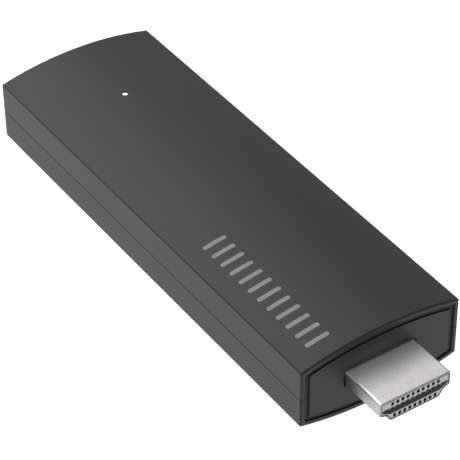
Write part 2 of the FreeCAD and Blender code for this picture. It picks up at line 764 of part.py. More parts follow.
def plug_outline():
    """Section of the plug: upright sides, shoulders, and flanks down to a narrow foot."""
    high = f"{PLUG_MIDDLE} + plug_height / 2"
    low = f"{PLUG_MIDDLE} - plug_height / 2"
    corner = f"{high} - plug_side"
    shoulder = f"{corner} - shoulder_drop"
    return cross_section("plug_outline", [
        ("-plug_width / 2", high),
        ("-plug_width / 2", corner),
        ("-shoulder_width / 2", shoulder),
        ("-plug_foot / 2", low),
        ("plug_foot / 2", low),
        ("shoulder_width / 2", shoulder),
        ("plug_width / 2", corner),
        ("plug_width / 2", high),
    ])


def hdmi_shell(plug):
    """Folded tube with rounded corners and a rounded front edge, and two legs soldered in the board."""
    tube = rounded(
        "shell_tube", prism("shell_solid", plug, BOARD_FRONT, TIP), "shell_round",
        lambda edge: runs_along(edge, "x"),
    )
    tip = number(TIP)
    outside = rounded(
        "shell_outside", tube, "shell_lip_round", lambda edge: edge.BoundBox.XMin > tip - NEARLY
    )
    bore = rounded(
        "shell_bore",
        prism(
            "shell_bore_sharp", grown("bore_outline", plug, "-shell_wall"),
            f"{BOARD_FRONT} - {OVERRUN}", f"{TIP} + {OVERRUN}",
        ),
        "shell_round - shell_wall",
        lambda edge: runs_along(edge, "x"),
    )
    low = f"{PLUG_MIDDLE} + plug_height / 2 - plug_side"
    legs = [
        side_block(
            f"shell_leg_{side}", f"{BOARD_FRONT} - leg_length / 2 + shell_wall", side,
            "(leg_length + 2 * shell_wall)", "plug_width / 2 - shell_wall", "plug_width / 2",
            low, f"{low} + leg_height",
        )
        for side in (1, -1)
    ]
    node("hdmi_shell", fuse("HdmiShell", cut("shell_sleeve", outside, bore), *legs))


def row_places(pitch, copies):
    """Places across, evenly about the centre line."""
    return [f"({i} - ({copies} - 1) / 2) * {pitch}" for i in range(count(copies))]


def slot_outline():
    """Section of the plug's slot: pointed sides, and a floor narrower than its roof."""
    tip = "(plug_width / 2 - slot_side_wall)"
    roof = f"({tip} - slot_roof_inset)"
    foot = "(shoulder_width / 2 - slot_foot_inset)"
    tip_low = f"{PLUG_MIDDLE} + slot_tip_below"
    tip_high = f"{PLUG_MIDDLE} + slot_tip_above"
    return cross_section("slot_outline", [
        (f"-{foot}", SLOT_FLOOR),
        (foot, SLOT_FLOOR),
        (tip, tip_low),
        (tip, tip_high),
        (roof, SLOT_ROOF),
        (f"-{roof}", SLOT_ROOF),
        (f"-{tip}", tip_high),
        (f"-{tip}", tip_low),
    ])


def channels(row, low, high, front):
    """Grooves that the contacts of one row run in, from the board to the given front end."""
    return [
        slab(
            f"{row}_channel_{i}",
            (f"{BOARD_FRONT} - {OVERRUN}", f"{y} - channel_width / 2", low),
            (front, f"{y} + channel_width / 2", high),
        )
        for i, y in enumerate(row_places("contact_pitch", f"{row}_contacts"))
    ]


def windows(row, low):
    """Openings in the insulator's front, one over each contact of the row."""
    return [
        block(
            f"{row}_window_{i}", (TIP, y), low,
            "2 * (insulator_recess + window_depth)", "window_width", "window_height",
        )
        for i, y in enumerate(row_places("contact_pitch", f"{row}_contacts"))
    ]


def hdmi_insulator(plug):
    """Moulded block that fills the plug: slot, dividers in its roof, channels and windows."""
    front = f"({TIP} - insulator_recess)"
    slot_back = f"({front} - slot_depth)"
    half_height = "(plug_height / 2 - shell_wall - insulator_gap)"
    block_solid = prism(
        "insulator_solid", grown("insulator_outline", plug, "-(shell_wall + insulator_gap)"),
        BOARD_FRONT, front,
    )
    divider_half = "(contact_pitch - channel_width) / 2"
    dividers = [
        slab(
            f"divider_{i}",
            (slot_back, f"{y} - {divider_half}", f"{SLOT_ROOF} - channel_depth"),
            (f"{TIP} + {OVERRUN}", f"{y} + {divider_half}", f"{SLOT_ROOF} + {OVERRUN}"),
        )
        for i, y in enumerate(row_places("contact_pitch", "(upper_contacts + 1)"))
    ]
    slot = cut(
        "slot_with_dividers", prism("slot", slot_outline(), slot_back, f"{TIP} + {OVERRUN}"), *dividers
    )
    upper_channels = channels("upper", f"{SLOT_ROOF} - channel_depth", SLOT_ROOF, slot_back)
    lower_channels = channels(
        "lower", f"{SLOT_FLOOR} - channel_depth", f"{BOARD_UNDER} + seat_clearance",
        f"{front} - contact_setback / 2",
    )
    upper_windows = windows("upper", f"{PLUG_MIDDLE} + {half_height} - upper_window_edge - window_height")
    lower_windows = windows("lower", f"{PLUG_MIDDLE} - {half_height} + lower_window_edge")
    opened = cut("insulator_opened", block_solid, slot, *upper_channels)
    node("hdmi_insulator", cut("HdmiInsulator", opened, *lower_channels, *upper_windows, *lower_windows))


def contact_row(label, near, side, width, pitch, copies):
    """Bent strips side by side. One face of each runs through the points near = (x, z), and its
    thickness lies above that face where side is 1, or below it where side is -1."""
    body = new_body(f"{label}_row")
    far = [(x, f"{z} + {side} * contact_thickness") for x, z in reversed(near)]
    sketch = body_sketch(body, f"{label}_strip", "XZ", f"({copies} - 1) / 2 * {pitch}", [near + far])
    strip = pad(body, f"{label}_pad", sketch, width, both_ways=True)
    row_of(body, f"{label}_pattern", strip, "Y", pitch, copies)
    return node(label, body)


def hdmi_contacts(row, side, run, bow_side):
    """One row of contacts: strips that lie on the board, run along the slot and bow into it."""
    board = f"{PLUG_MIDDLE} + {side} * board_thickness / 2"
    joggle = f"{BOARD_FRONT} + contact_joggle"
    tip = f"{TIP} - contact_setback"
    contact_row(f"hdmi_contacts_{row}", [
        (f"{BOARD_FRONT} - contact_tail", board),
        (joggle, board),
        (f"{joggle} + contact_joggle", run),
        (f"{tip} - contact_bow_length", run),
        (f"{tip} - contact_bow_length / 2", f"{run} + {bow_side} * contact_bow"),
        (tip, run),
    ], side, "contact_width", "contact_pitch", f"{row}_contacts")


# The board and what stands on it

def main_board():
    body = new_body("MainBoard")
    notch = "usb_width / 2 + usb_notch_gap"
    notch_end = f"{USB_BACK} + usb_notch_gap"
    leg_middle = "(plug_width / 2 - shell_wall / 2)"
    slot_half = "(shell_wall / 2 + leg_clearance)"
    slot_end = f"{BOARD_FRONT} - leg_length - leg_clearance"
    inner, outer = f"{leg_middle} - {slot_half}", f"{leg_middle} + {slot_half}"
    corners = [
        (BOARD_REAR, f"-{BOARD_EDGE}"),
        (BOARD_FRONT, f"-{BOARD_EDGE}"),
        (BOARD_FRONT, f"-({outer})"), (slot_end, f"-({outer})"),
        (slot_end, f"-({inner})"), (BOARD_FRONT, f"-({inner})"),
        (BOARD_FRONT, inner), (slot_end, inner), (slot_end, outer), (BOARD_FRONT, outer),
        (BOARD_FRONT, BOARD_EDGE),
        (BOARD_REAR, BOARD_EDGE),
        (BOARD_REAR, notch), (notch_end, notch), (notch_end, f"-({notch})"), (BOARD_REAR, f"-({notch})"),
    ]
    outline = body_sketch(body, "board_outline", "XY", BOARD_UNDER, [corners])
    pad(body, "board_plate", outline, "board_thickness")
    holes = body_sketch(body, "board_holes", "XY", BOARD_TOP, [])
    for i, (x, y) in enumerate(screw_places()):
        draw_circle(holes, i, x, y, "screw_hole_radius")
    pocket(body, "board_drilled", holes, "board_thickness")
    node("main_board", body)


def board_screws():
    """Two pan-head screws through the board into the bottom cover's bosses."""
    screws = []
    for i, (x, y) in enumerate(screw_places()):
        body = new_body(f"screw_{i}")
        turned(body, f"screw_form_{i}", [
            ("0", "-screw_length"),
            ("screw_radius - screw_point", "-screw_length"),
            ("screw_radius", "-screw_length + screw_point"),
            ("screw_radius", "0"),
            ("screw_head_radius", "0"),
            ("screw_head_radius", "screw_head_height - screw_crown"),
            ("screw_head_radius - screw_crown", "screw_head_height"),
            ("0", "screw_head_height"),
        ])
        for arm, half_x, half_y in (
            ("along", "screw_cross_span / 2", "screw_cross_width / 2"),
            ("across", "screw_cross_width / 2", "screw_cross_span / 2"),
        ):
            outline = rectangle((f"-{half_x}", f"-{half_y}"), (half_x, half_y))
            recess = body_sketch(body, f"screw_{arm}_{i}", "XY", "screw_head_height", [outline])
            pocket(body, f"screw_recess_{arm}_{i}", recess, "screw_cross_depth")
        move_to(body, x, y, BOARD_TOP)
        screws.append(body)
    node("board_screws", group("BoardScrews", screws))


def chip(name, middle, length, width, height, under=False):
    """Chip with bevelled outer edges, on the board's top or under it."""
    low = f"{BOARD_UNDER} - ({height})" if under else BOARD_TOP
    body = block(f"{name}_block", middle, low, length, width, height)
    outer = number(low) if under else number(f"{low} + {height}")
    return chamfered(
        f"{name}_chip", body, "chip_chamfer",
        lambda edge: abs(edge.BoundBox.Center.z - outer) < NEARLY,
    )


def chips():
    """The large chips. Those under the shields line up from the shields' plug end."""
    first_middle = f"{SHIELD_END} - shield_wall - chip_gap"
    node("processor", chip(
        "processor", (PROCESSOR_X, "0"), "processor_side", "processor_side", "processor_height"
    ))
    node("memory_chips", group("MemoryChips", [
        chip(
            f"memory_{side}",
            (f"({first_middle} - memory_length / 2)", f"({side} * (memory_width + chip_gap) / 2)"),
            "memory_length", "memory_width", "memory_height",
        )
        for side in (-1, 1)
    ]))
    node("power_chip", chip(
        "power", (f"({first_middle} - power_side / 2)", "0"),
        "power_side", "power_side", "power_height", under=True,
    ))
    node("flash_chip", chip(
        "flash", (f"({first_middle} - power_side - chip_gap - flash_length / 2)", "0"),
        "flash_length", "flash_width", "flash_height", under=True,
    ))
    node("wifi_chip", chip(
        "wifi", (WIFI_X, "wifi_side_shift"), "wifi_chip_side", "wifi_chip_side", "wifi_chip_height"
    ))
    node("crystals", group("Crystals", [
        chip(
            f"crystal_{side}",
            (f"({FAR} + crystal_start)", f"({side} * ({BOARD_EDGE} - crystal_edge_gap))"),
            "crystal_length", "crystal_width", "crystal_height",
        )
        for side in (-1, 1)
    ]))
    node("power_inductors", group("PowerInductors", [
        chip(
            f"inductor_{i}",
            (f"({FAR} + inductor_start + {i} * (inductor_side + inductor_gap))", "inductor_shift"),
            "inductor_side", "inductor_side", "inductor_height", under=True,
        )
        for i in range(count("inductor_count"))
    ]))


def small_chips():
    """Rows of chip capacitors and resistors beside the wireless shield."""
    for kind in ("capacitor", "resistor"):
        off_centre = f"({BOARD_EDGE} - {kind}_edge_gap)"
        node(f"chip_{kind}s", group(f"Chip{kind.title()}s", [
            block(
                f"{kind}_{i}", (f"({FAR} + chip_row_start + {i} * chip_row_pitch)", off_centre),
                BOARD_TOP, f"{kind}_width", f"{kind}_length", f"{kind}_height",
            )
            for i in range(count(f"{kind}_count"))
        ]))


def can(name, middle, low, length, width, height, wall, opening):
    """Sheet-metal box. Its opening is 'down', 'up', or 'through' for a frame."""
    outside = block(f"{name}_outside", middle, low, length, width, height)
    start = f"{low} + {wall}" if opening == "up" else f"{low} - {OVERRUN}"
    depth = f"{height} + 2 * {OVERRUN}" if opening == "through" else f"{height} - {wall} + {OVERRUN}"
    inside = block(
        f"{name}_inside", middle, start, f"({length}) - 2 * {wall}", f"({width}) - 2 * {wall}", depth
    )
    return cut(name, outside, inside)


def shields():
    """Soldered frames with snap-on lids over the processor and under it, and the wireless can."""
    wall = "shield_wall"
    grow = f"2 * ({wall} + seat_clearance)"
    lid_width = f"({SHIELD_WIDTH} + {grow})"
    lid_height = f"({wall} + lid_skirt)"
    upper = (SHIELD_X, "0")
    lower = (f"({SHIELD_END} - {LOWER_LENGTH} / 2)", "0")
    node("shield_frame", can(
        "ShieldFrame", upper, BOARD_TOP, SHIELD_LENGTH, SHIELD_WIDTH, "shield_height", wall, "through"
    ))
    node("shield_lid", can(
        "ShieldLid", upper, f"{LID_TOP} - {lid_height}", f"({SHIELD_LENGTH} + {grow})", lid_width,
        lid_height, wall, "down",
    ))
    node("lower_shield_frame", can(
        "LowerShieldFrame", lower, f"{BOARD_UNDER} - shield_height", LOWER_LENGTH, SHIELD_WIDTH,
        "shield_height", wall, "through",
    ))
    node("lower_shield_lid", can(
        "LowerShieldLid", lower, f"{BOARD_UNDER} - shield_height - {wall}", f"({LOWER_LENGTH} + {grow})",
        lid_width, lid_height, wall, "up",
    ))
    node("wifi_shield", can(
        "WifiShield", (WIFI_X, "wifi_side_shift"), BOARD_TOP, WIFI_SIDE, WIFI_SIDE, "shield_height",
        wall, "down",
    ))


def cooling():
    """Thermal pads from the processor to the lid and from the lid to the heat spreader."""
    over_processor = (PROCESSOR_X, "0")
    side = "(processor_side - 2 * pad_margin)"
    node("processor_pad", block(
        "ProcessorPad", over_processor, f"{BOARD_TOP} + processor_height", side, side,
        "shield_height - processor_height",
    ))
    node("spreader_pad", block("SpreaderPad", over_processor, LID_TOP, side, side, "spreader_gap"))
    plate = block(
        "spreader_plate", (SHIELD_X, "0"), SPREADER_UNDER, SPREADER_LENGTH, SHIELD_WIDTH, "spreader_thickness"
    )
    node("heat_spreader", rounded(
        "HeatSpreader", plate, "spreader_thickness", lambda edge: runs_along(edge, "z")
    ))


def antennas():
    """Stamped antennas along both edges at the far end: two feet, a strip and a folded top."""
    for name, side in (("left", -1), ("right", 1)):
        start = f"{FAR} + antenna_setback"
        middle = f"({start} + antenna_length / 2)"
        outer = f"({BOARD_EDGE} - antenna_edge_gap)"
        inner = f"({outer} - antenna_sheet)"
        top = f"({BOARD_TOP} + antenna_height)"
        strip = side_block(
            f"antenna_strip_{name}", middle, side, "antenna_length", inner, outer,
            f"{BOARD_TOP} + antenna_lift", top,
        )
        fold = side_block(
            f"antenna_fold_{name}", middle, side, "antenna_length", f"({outer} - antenna_fold)", outer,
            f"{top} - antenna_sheet", top,
        )
        feet = [
            side_block(
                f"antenna_foot_{name}_{i}", f"({start} + antenna_foot / 2 + {i} * antenna_feet_apart)",
                side, "antenna_foot", inner, outer, BOARD_TOP, f"{BOARD_TOP} + antenna_lift",
            )
            for i in (0, 1)
        ]
        node(f"antenna_{name}", fuse(f"Antenna{name.title()}", strip, fold, *feet))


def indicator():
    """Light on the board and the clear pin that leads it to the top of the case."""
    lens = block(
        "indicator_block", (LIGHT_X, "0"), BOARD_TOP,
        "indicator_length", "indicator_width", "indicator_height",
    )
    top = number(f"{BOARD_TOP} + indicator_height")
    node("indicator_light", chamfered(
        "IndicatorLight", lens, "chip_chamfer", lambda edge: edge.BoundBox.ZMin > top - NEARLY
    ))
    body = new_body("LightPipe")
    foot = f"{BOARD_TOP} + indicator_height + light_air"
    flange_top = f"{TOP} - cover_wall - seat_clearance"
    flange_foot = f"{flange_top} - light_flange_height"
    pipe_top = f"{TOP} - light_recess"
    turned(body, "light_pipe_form", [
        ("0", foot),
        ("light_radius", foot),
        ("light_radius", flange_foot),
        ("light_flange_radius", flange_foot),
        ("light_flange_radius", flange_top),
        ("light_radius", flange_top),
        ("light_radius", pipe_top),
        ("0", pipe_top),
    ])
    move_to(body, LIGHT_X, "0", "0")
    node("light_pipe", body)


# The button and its switch

def stadium(name, length, height, start, depth):
    """Bar with round ends, pushed along Y from start, at the button's place."""
    half = f"(({length}) - ({height})) / 2"
    ends = [
        rod(
            f"{name}_end_{side}", (f"{BUTTON_X} + {side} * {half}", start, BUTTON_Z),
            f"({height}) / 2", depth, TO_RIGHT,
        )
        for side in (-1, 1)
    ]
    bar = slab(
        f"{name}_bar",
        (f"{BUTTON_X} - {half}", start, f"{BUTTON_Z} - ({height}) / 2"),
        (f"{BUTTON_X} + {half}", f"{start} + {depth}", f"{BUTTON_Z} + ({height}) / 2"),
    )
    return fuse(name, bar, *ends)


def reset_button():
    """Cap in the side wall, with a flange behind it that keeps it in."""
    cap = stadium(
        "button_cap", "button_length", "button_height", FLANGE_REAR,
        f"(body_width / 2 - button_recess - {FLANGE_REAR})",
    )
    flange = stadium(
        "button_flange_plate", "button_length + 2 * button_overlap", "button_height + 2 * button_overlap",
        FLANGE_REAR, "button_flange",
    )
    whole = fuse("button_whole", cap, flange)
    face = number("body_width / 2 - button_recess")
    node("reset_button", rounded(
        "ResetButton", whole, "button_round", lambda edge: edge.BoundBox.YMin > face - NEARLY
    ))


def side_switch():
    """Side-pressed switch: housing, snap dome and plunger."""
    cavity_front = f"({SWITCH_FRONT} - switch_wall)"
    cavity_back = f"({cavity_front} - {SWITCH_CAVITY_DEPTH})"
    housing_depth = f"(switch_wall + {SWITCH_CAVITY_DEPTH} + switch_back)"
    housing = block(
        "switch_housing", (BUTTON_X, f"({SWITCH_FRONT} - {housing_depth} / 2)"), BOARD_TOP,
        "switch_length", housing_depth, "(switch_axis + switch_cavity + switch_wall)",
    )
    cavity = rod(
        "switch_hollow", (BUTTON_X, cavity_back, BUTTON_Z), "switch_cavity", SWITCH_CAVITY_DEPTH, TO_RIGHT
    )
    bore = rod(
        "switch_bore", (BUTTON_X, cavity_back, BUTTON_Z), "stem_radius + seat_clearance",
        f"{SWITCH_CAVITY_DEPTH} + 2 * switch_wall", TO_RIGHT,
    )
    node("switch_body", cut("SwitchBody", housing, cavity, bore))

    head_back = f"({cavity_front} - seat_clearance - plunger_head)"
    head = rod(
        "plunger_disc", (BUTTON_X, head_back, BUTTON_Z), "switch_cavity - 2 * seat_clearance",
        "plunger_head", TO_RIGHT,
    )
    stem = rod(
        "plunger_stem", (BUTTON_X, head_back, BUTTON_Z), "stem_radius",
        f"{FLANGE_REAR} - {head_back}", TO_RIGHT,
    )
    node("switch_plunger", fuse("SwitchPlunger", head, stem))

    body = new_body("SwitchDome")
    radius = "(switch_cavity - seat_clearance)"
    turned(body, "dome_form", [
        (radius, "0"),
        (radius, "dome_thickness"),
        ("0", "dome_rise + dome_thickness"),
        ("0", "dome_rise"),
    ])
    move_to(body, BUTTON_X, cavity_back, BUTTON_Z, TO_RIGHT)
    node("switch_dome", body)


# The power socket

def usb_outline():
    """Section of the power socket: upright sides, and lower corners drawn in."""
    high = f"{PLUG_MIDDLE} + usb_height / 2"
    low = f"{PLUG_MIDDLE} - usb_height / 2"
    return cross_section("usb_outline", [
        ("-usb_foot / 2", low),
        ("usb_foot / 2", low),
        ("usb_width / 2", f"{high} - usb_upright"),
        ("usb_width / 2", high),
        ("-usb_width / 2", high),
        ("-usb_width / 2", f"{high} - usb_upright"),
    ])


def usb_socket():
    """Shell soldered over the board's notch, and a moulding that holds the contacts in its tongue."""
    outline = usb_outline()
    sleeve = cut(
        "usb_sleeve",
        prism("usb_solid", outline, USB_FRONT, USB_BACK),
        prism(
            "usb_bore", grown("usb_bore_outline", outline, "-usb_wall"),
            f"{USB_FRONT} - {OVERRUN}", f"{USB_BACK} + {OVERRUN}",
        ),
    )
    wings = along_sides(
        "usb_wing",
        [f"{BOARD_REAR} + usb_wing_length", f"{USB_BACK} - usb_wing_length / 2"],
        lambda part, x, side: side_block(
            part, x, side, "usb_wing_length", "usb_width / 2 - usb_wall", "usb_width / 2 + usb_wing",
            BOARD_TOP, f"{BOARD_TOP} + usb_wall",
        ),
    )
    node("usb_shell", fuse("UsbShell", sleeve, *wings))

    base_front = f"({USB_BACK} - usb_base)"
    tongue_top = f"({PLUG_MIDDLE} + usb_height / 2 - usb_wall - usb_tongue_gap)"
    tongue_foot = f"({tongue_top} - usb_tongue_height)"
    contacts = contact_row("usb_contacts", [
        (f"{base_front} - usb_contact_reach", tongue_foot),
        (base_front, tongue_foot),
        (USB_BACK, BOARD_TOP),
        (f"{USB_BACK} + contact_tail", BOARD_TOP),
    ], 1, "usb_contact_width", "usb_contact_pitch", "usb_contact_count")
    base = prism(
        "usb_base_block", grown("usb_base_outline", outline, "-(usb_wall + seat_clearance)"),
        base_front, USB_BACK,
    )
    tongue = slab(
        "usb_tongue_plate",
        (f"{base_front} - usb_tongue_length", "-usb_tongue_width / 2", tongue_foot),
        (base_front, "usb_tongue_width / 2", tongue_top),
    )
    node("usb_tongue", cut("UsbTongue", fuse("usb_moulding", base, tongue), contacts))


# Assembly, checks and files

def build():
    fill_sheet()
    case = case_outline()
    plug = plug_outline()
    blank = case_blank(case)
    core = case_core(case)
    top_cover(blank, core)
    bottom_cover(blank, core)
    front_bezel(case, plug)
    hdmi_shell(plug)
    hdmi_insulator(plug)
    hdmi_contacts("upper", 1, BOARD_TOP, -1)
    hdmi_contacts("lower", -1, SLOT_FLOOR, 1)
    main_board()
    board_screws()
    chips()
    small_chips()
    shields()
    cooling()
    antennas()
    indicator()
    reset_button()
    side_switch()
    usb_socket()
    doc.recompute()


def check():
    """Stop if any object failed or any sub-part's shape isn't whole."""
    for thing in doc.Objects:
        if "Invalid" in thing.State or "Error" in thing.State:
            raise RuntimeError(f"{thing.Name} ({thing.Label}): {thing.State}")
    for thing in nodes:
        if thing.Shape.isNull() or not thing.Shape.isValid() or not thing.Shape.Solids:
            raise RuntimeError(f"{thing.Label} has no sound shape")


def write():
    os.makedirs("parts", exist_ok=True)
    for thing in nodes:
        thing.Shape.exportStep(f"parts/{thing.Label}.step")


build()
check()
write()
for thing in nodes:
    print(thing.Label, len(thing.Shape.Solids), round(thing.Shape.Volume, 2))
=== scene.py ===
import math

import bmesh
import bpy
from mathutils import Matrix, Vector


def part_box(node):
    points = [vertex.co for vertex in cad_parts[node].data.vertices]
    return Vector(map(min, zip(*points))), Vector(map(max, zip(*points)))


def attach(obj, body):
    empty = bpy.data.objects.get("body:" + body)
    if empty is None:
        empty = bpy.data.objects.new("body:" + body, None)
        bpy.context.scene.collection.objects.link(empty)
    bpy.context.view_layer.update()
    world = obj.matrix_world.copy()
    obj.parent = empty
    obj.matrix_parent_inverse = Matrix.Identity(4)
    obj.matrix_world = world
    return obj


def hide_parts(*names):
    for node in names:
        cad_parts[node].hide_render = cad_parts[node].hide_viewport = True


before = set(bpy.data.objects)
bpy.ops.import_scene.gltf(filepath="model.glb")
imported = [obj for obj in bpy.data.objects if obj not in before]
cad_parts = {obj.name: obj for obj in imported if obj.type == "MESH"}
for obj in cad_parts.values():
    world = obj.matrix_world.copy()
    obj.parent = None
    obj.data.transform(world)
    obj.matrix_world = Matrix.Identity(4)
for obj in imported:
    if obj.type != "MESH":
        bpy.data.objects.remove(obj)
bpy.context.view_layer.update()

# The looks of a streaming stick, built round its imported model. Lengths in this script are in
# millimetres and become metres where a mesh, a light or the camera is made.
MM = 0.001


def node_box(node):
    """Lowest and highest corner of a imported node, in millimetres."""
    low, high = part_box(node)
    return low / MM, high / MM


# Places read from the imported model
case_low, case_high = node_box("top_cover")
bottom_low = node_box("bottom_cover")[0]
bezel_low = node_box("front_bezel")[0]
plug_low, plug_high = node_box("hdmi_shell")
insulator_low, insulator_high = node_box("hdmi_insulator")
pipe_low, pipe_high = node_box("light_pipe")
button_low, button_high = node_box("reset_button")
socket_low, socket_high = node_box("usb_shell")

FAR = case_low.x
FACE = case_high.x
TIP = plug_high.x
TOP = case_high.z
MIDDLE = (case_high.z + bottom_low.z) / 2
HALF_WIDTH = case_high.y
PLUG_MIDDLE = (plug_low.z + plug_high.z) / 2
LIGHT_X = (pipe_low.x + pipe_high.x) / 2
BUTTON_X = (button_low.x + button_high.x) / 2
BUTTON_Z = (button_low.z + button_high.z) / 2

# The case
CROWN_RISE = 2.0
CROWN_RADIUS = (HALF_WIDTH ** 2 + CROWN_RISE ** 2) / (2 * CROWN_RISE)
CROWN_CENTRE = TOP - CROWN_RADIUS
WALL = 1.5
EDGE_ROUND = 0.3
FRONT_ROUND = 0.32
SMALL_ROUND = 0.1
SEAM_DROP = 0.04
SEAM_OPEN = 0.004
SEAM_BEVEL = 0.08
SEAM = MIDDLE - SEAM_DROP

# The bezel, behind the rim of the case
RIM = 0.9
GROOVE = 0.8
GROOVE_DEPTH = 0.32
BEZEL_FLANGE = 1.2
SEAT_GAP = 0.05
PLUG_GAP = 0.22

# The plug
PLUG_HALF_WIDTH = plug_high.y
PLUG_SIDE = 2.68
SHOULDER_DROP = 0.45
SHOULDER_HALF = 5.7
FOOT_HALF = 4.8
SHELL_WALL = 0.3
SHELL_LEGS = 3.0
FOOT_BEND = 0.4
FLANK_BEND = 0.8
SHOULDER_BEND = 0.35
TOP_BEND = 0.45
SLOT_ABOVE = 0.6
SLOT_BELOW = 0.75
SLOT_CORNERS = 0.35
CONTACT_PITCH = 1.0
UPPER_CONTACTS = 10
LOWER_CONTACTS = 9
TOOTH_HEIGHT = 0.33
DARK_RIM = 0.1
SOFT_EDGE = 0.03
WINDOW_HALF_WIDTH = 0.285
WINDOW_HALF_HEIGHT = 0.335
UPPER_WINDOWS = insulator_high.z - 0.59
LOWER_WINDOWS = insulator_low.z + 0.54

# The power socket
SOCKET_HALF_WIDTH = 3.8
SOCKET_HALF_HEIGHT = 1.3
SOCKET_SIDE = 1.7
SOCKET_FOOT_HALF = 2.9
SOCKET_BEND = 0.6
SOCKET_TOP_BEND = 0.5
PORT_GAP = 0.3
PORT_ROUND = 0.6

# The light's hole and its guide
LIGHT_HOLE = 0.58
LIGHT_SUNK = 0.08
GUIDE_RADIUS = 0.57
GUIDE_FLANGE = 1.2
GUIDE_FLANGE_HEIGHT = 0.6

# The button
BUTTON_LENGTH = 5.0
BUTTON_HEIGHT = 2.2
BUTTON_GAP = 0.12
BUTTON_ROUND = 0.15
BUTTON_FLANGE = 0.5
BUTTON_OVERLAP = 0.6

# The print
BARS = 12
BAR_WIDTH = 0.85
BARS_START = 9.0
BARS_END = 38.7
BARS_NEAR = -11.9
BARS_FAR = -7.4
BAR_END_WIDTH = 0.06
INK_DEPTH = 0.008
INK_SUNK = 0.02

# Painted light on the bezel over the plug: its upper edge, where it is full, its middle and reach
PATCH_TOP = 13.4
PATCH_FULL = 10.5
PATCH_MIDDLE = -1.5
PATCH_REACH = 9.5

# Painted shade on the plastic, from 0 to 1: on its rounded edges, toward the plug and in the seam
LONG_EDGE_SHADE = 0.48
END_EDGE_SHADE = 0.16
UPRIGHT_EDGE_SHADE = 0.40
PLUG_END_SHADE = 0.16
SEAM_SHADE = 0.65

# Painted shade and reflection on the plug: on its sides, more so near the bezel, and along its edges
SIDE_SHADE = 0.24
SIDE_SHADE_NEAR_BEZEL = 0.40
FAR_EDGE_SHADE = 0.75
UNDER_EDGE_SHADE = 0.6
TIP_SHADE = 0.5

# The stage, its lights and the camera
FLOOR_REACH = 2000
BACKDROP_REACH = 1800
FLOOR_GLOW = 1.0
SKY_GLOW = 0.5
SKY_DIM = 0.25
OVERHEAD_PLACE = (-500, -60, 640)
OVERHEAD_SIZE = 740
OVERHEAD_POWER = 3.5
KEY_PLACE = (-520, -500, 350)
KEY_SIZE = 300
KEY_POWER = 1.5
CAMERA_PLACE = (239.51, -160.0, 241.49)
CAMERA_TURNS = (56.299, 39.209, -0.585)
CAMERA_LENS = 169.25
SENSOR = 36.0

# How finely curves are drawn, how sharp a bend may be, the angle in degrees from which a corner
# stays sharp, and how far a cutter runs past a surface
CROWN_STEPS = 64
ROUND_STEPS = 6
TURNED_STEPS = 48
BUTTON_STEPS = 20
BAR_STEPS = 8
SHARPEST = 0.01
SHARP_ANGLE = 40
OVERRUN = 1


# Shapes

def on_section(x, outline):
    """Points across the stick at x, from an outline of (y, z)."""
    return [Vector((x, y, z)) for y, z in outline]


def quarter(radius):
    """Steps round an edge: how far each lies inside one of its two faces, and inside the other."""
    turns = [math.pi / 2 * step / ROUND_STEPS for step in range(ROUND_STEPS + 1)]
    return [(radius * (1 - math.sin(turn)), radius * (1 - math.cos(turn))) for turn in turns]


def case_section(inset, rounding):
    """Outline of the case, moved in by inset, with its four corners rounded."""
    radius = CROWN_RADIUS - inset
    corner_y = HALF_WIDTH - inset - rounding
    corner_z = CROWN_CENTRE + math.sqrt((radius - rounding) ** 2 - corner_y ** 2)
    lean = math.asin(corner_y / (radius - rounding))
    corner = []
    for step in range(ROUND_STEPS + 1):
        turn = (math.pi / 2 - lean) * step / ROUND_STEPS
        corner.append((corner_y + rounding * math.cos(turn), corner_z + rounding * math.sin(turn)))
    crown = []
    for step in range(1, CROWN_STEPS):
        turn = lean - 2 * lean * step / CROWN_STEPS
        crown.append((radius * math.sin(turn), CROWN_CENTRE + radius * math.cos(turn)))
    upper = corner + crown + [(-y, z) for y, z in reversed(corner)]
    return upper + [(-y, 2 * MIDDLE - z) for y, z in upper]


def neighbours(corners):
    """Each corner of a closed outline, between the one before it and the one after."""
    points = [Vector(corner) for corner in corners]
    return zip(points[-1:] + points[:-1], points, points[1:] + points[:1])


def moved_in(corners, amount):
    """Corners of a closed outline after each of its sides moves in by amount."""
    moved = []
    for before, here, after in neighbours(corners):
        first = (here - before).normalized()
        second = (after - here).normalized()
        inward = Vector((-first.y, first.x)) + Vector((-second.y, second.x))
        moved.append(here + inward * amount / (1 + first.dot(second)))
    return moved


def softened(corners, radii):
    """The outline with an arc in place of each corner."""
    points = []
    for (before, here, after), radius in zip(neighbours(corners), radii):
        back = (before - here).normalized()
        ahead = (after - here).normalized()
        half_angle = back.angle(ahead) / 2
        reach = radius / math.tan(half_angle)
        centre = here + (back + ahead).normalized() * radius / math.sin(half_angle)
        first_ray = here + back * reach - centre
        last_ray = here + ahead * reach - centre
        for step in range(ROUND_STEPS + 1):
            ray = first_ray.slerp(last_ray, step / ROUND_STEPS)
            points.append(tuple(centre + ray * radius))
    return points


def mirrored(right):
    """Corners and bends of a whole outline, from those of its right half, lowest first."""
    return right + [((-y, z), bend) for (y, z), bend in reversed(right)]


def folded_ring(x, corners, inset):
    """Outline of folded sheet at x, moved in by inset. A bend with a minus sign is a hollow one."""
    bends = [bend - inset if bend > 0 else inset - bend for corner, bend in corners]
    outline = moved_in([corner for corner, bend in corners], inset)
    return on_section(x, softened(outline, [max(bend, SHARPEST) for bend in bends]))


def turned_ring(x, y, z, radius):
    """Circle round an upright axis."""
    turns = [2 * math.pi * step / TURNED_STEPS for step in range(TURNED_STEPS)]
    return [Vector((x + radius * math.cos(turn), y + radius * math.sin(turn), z)) for turn in turns]


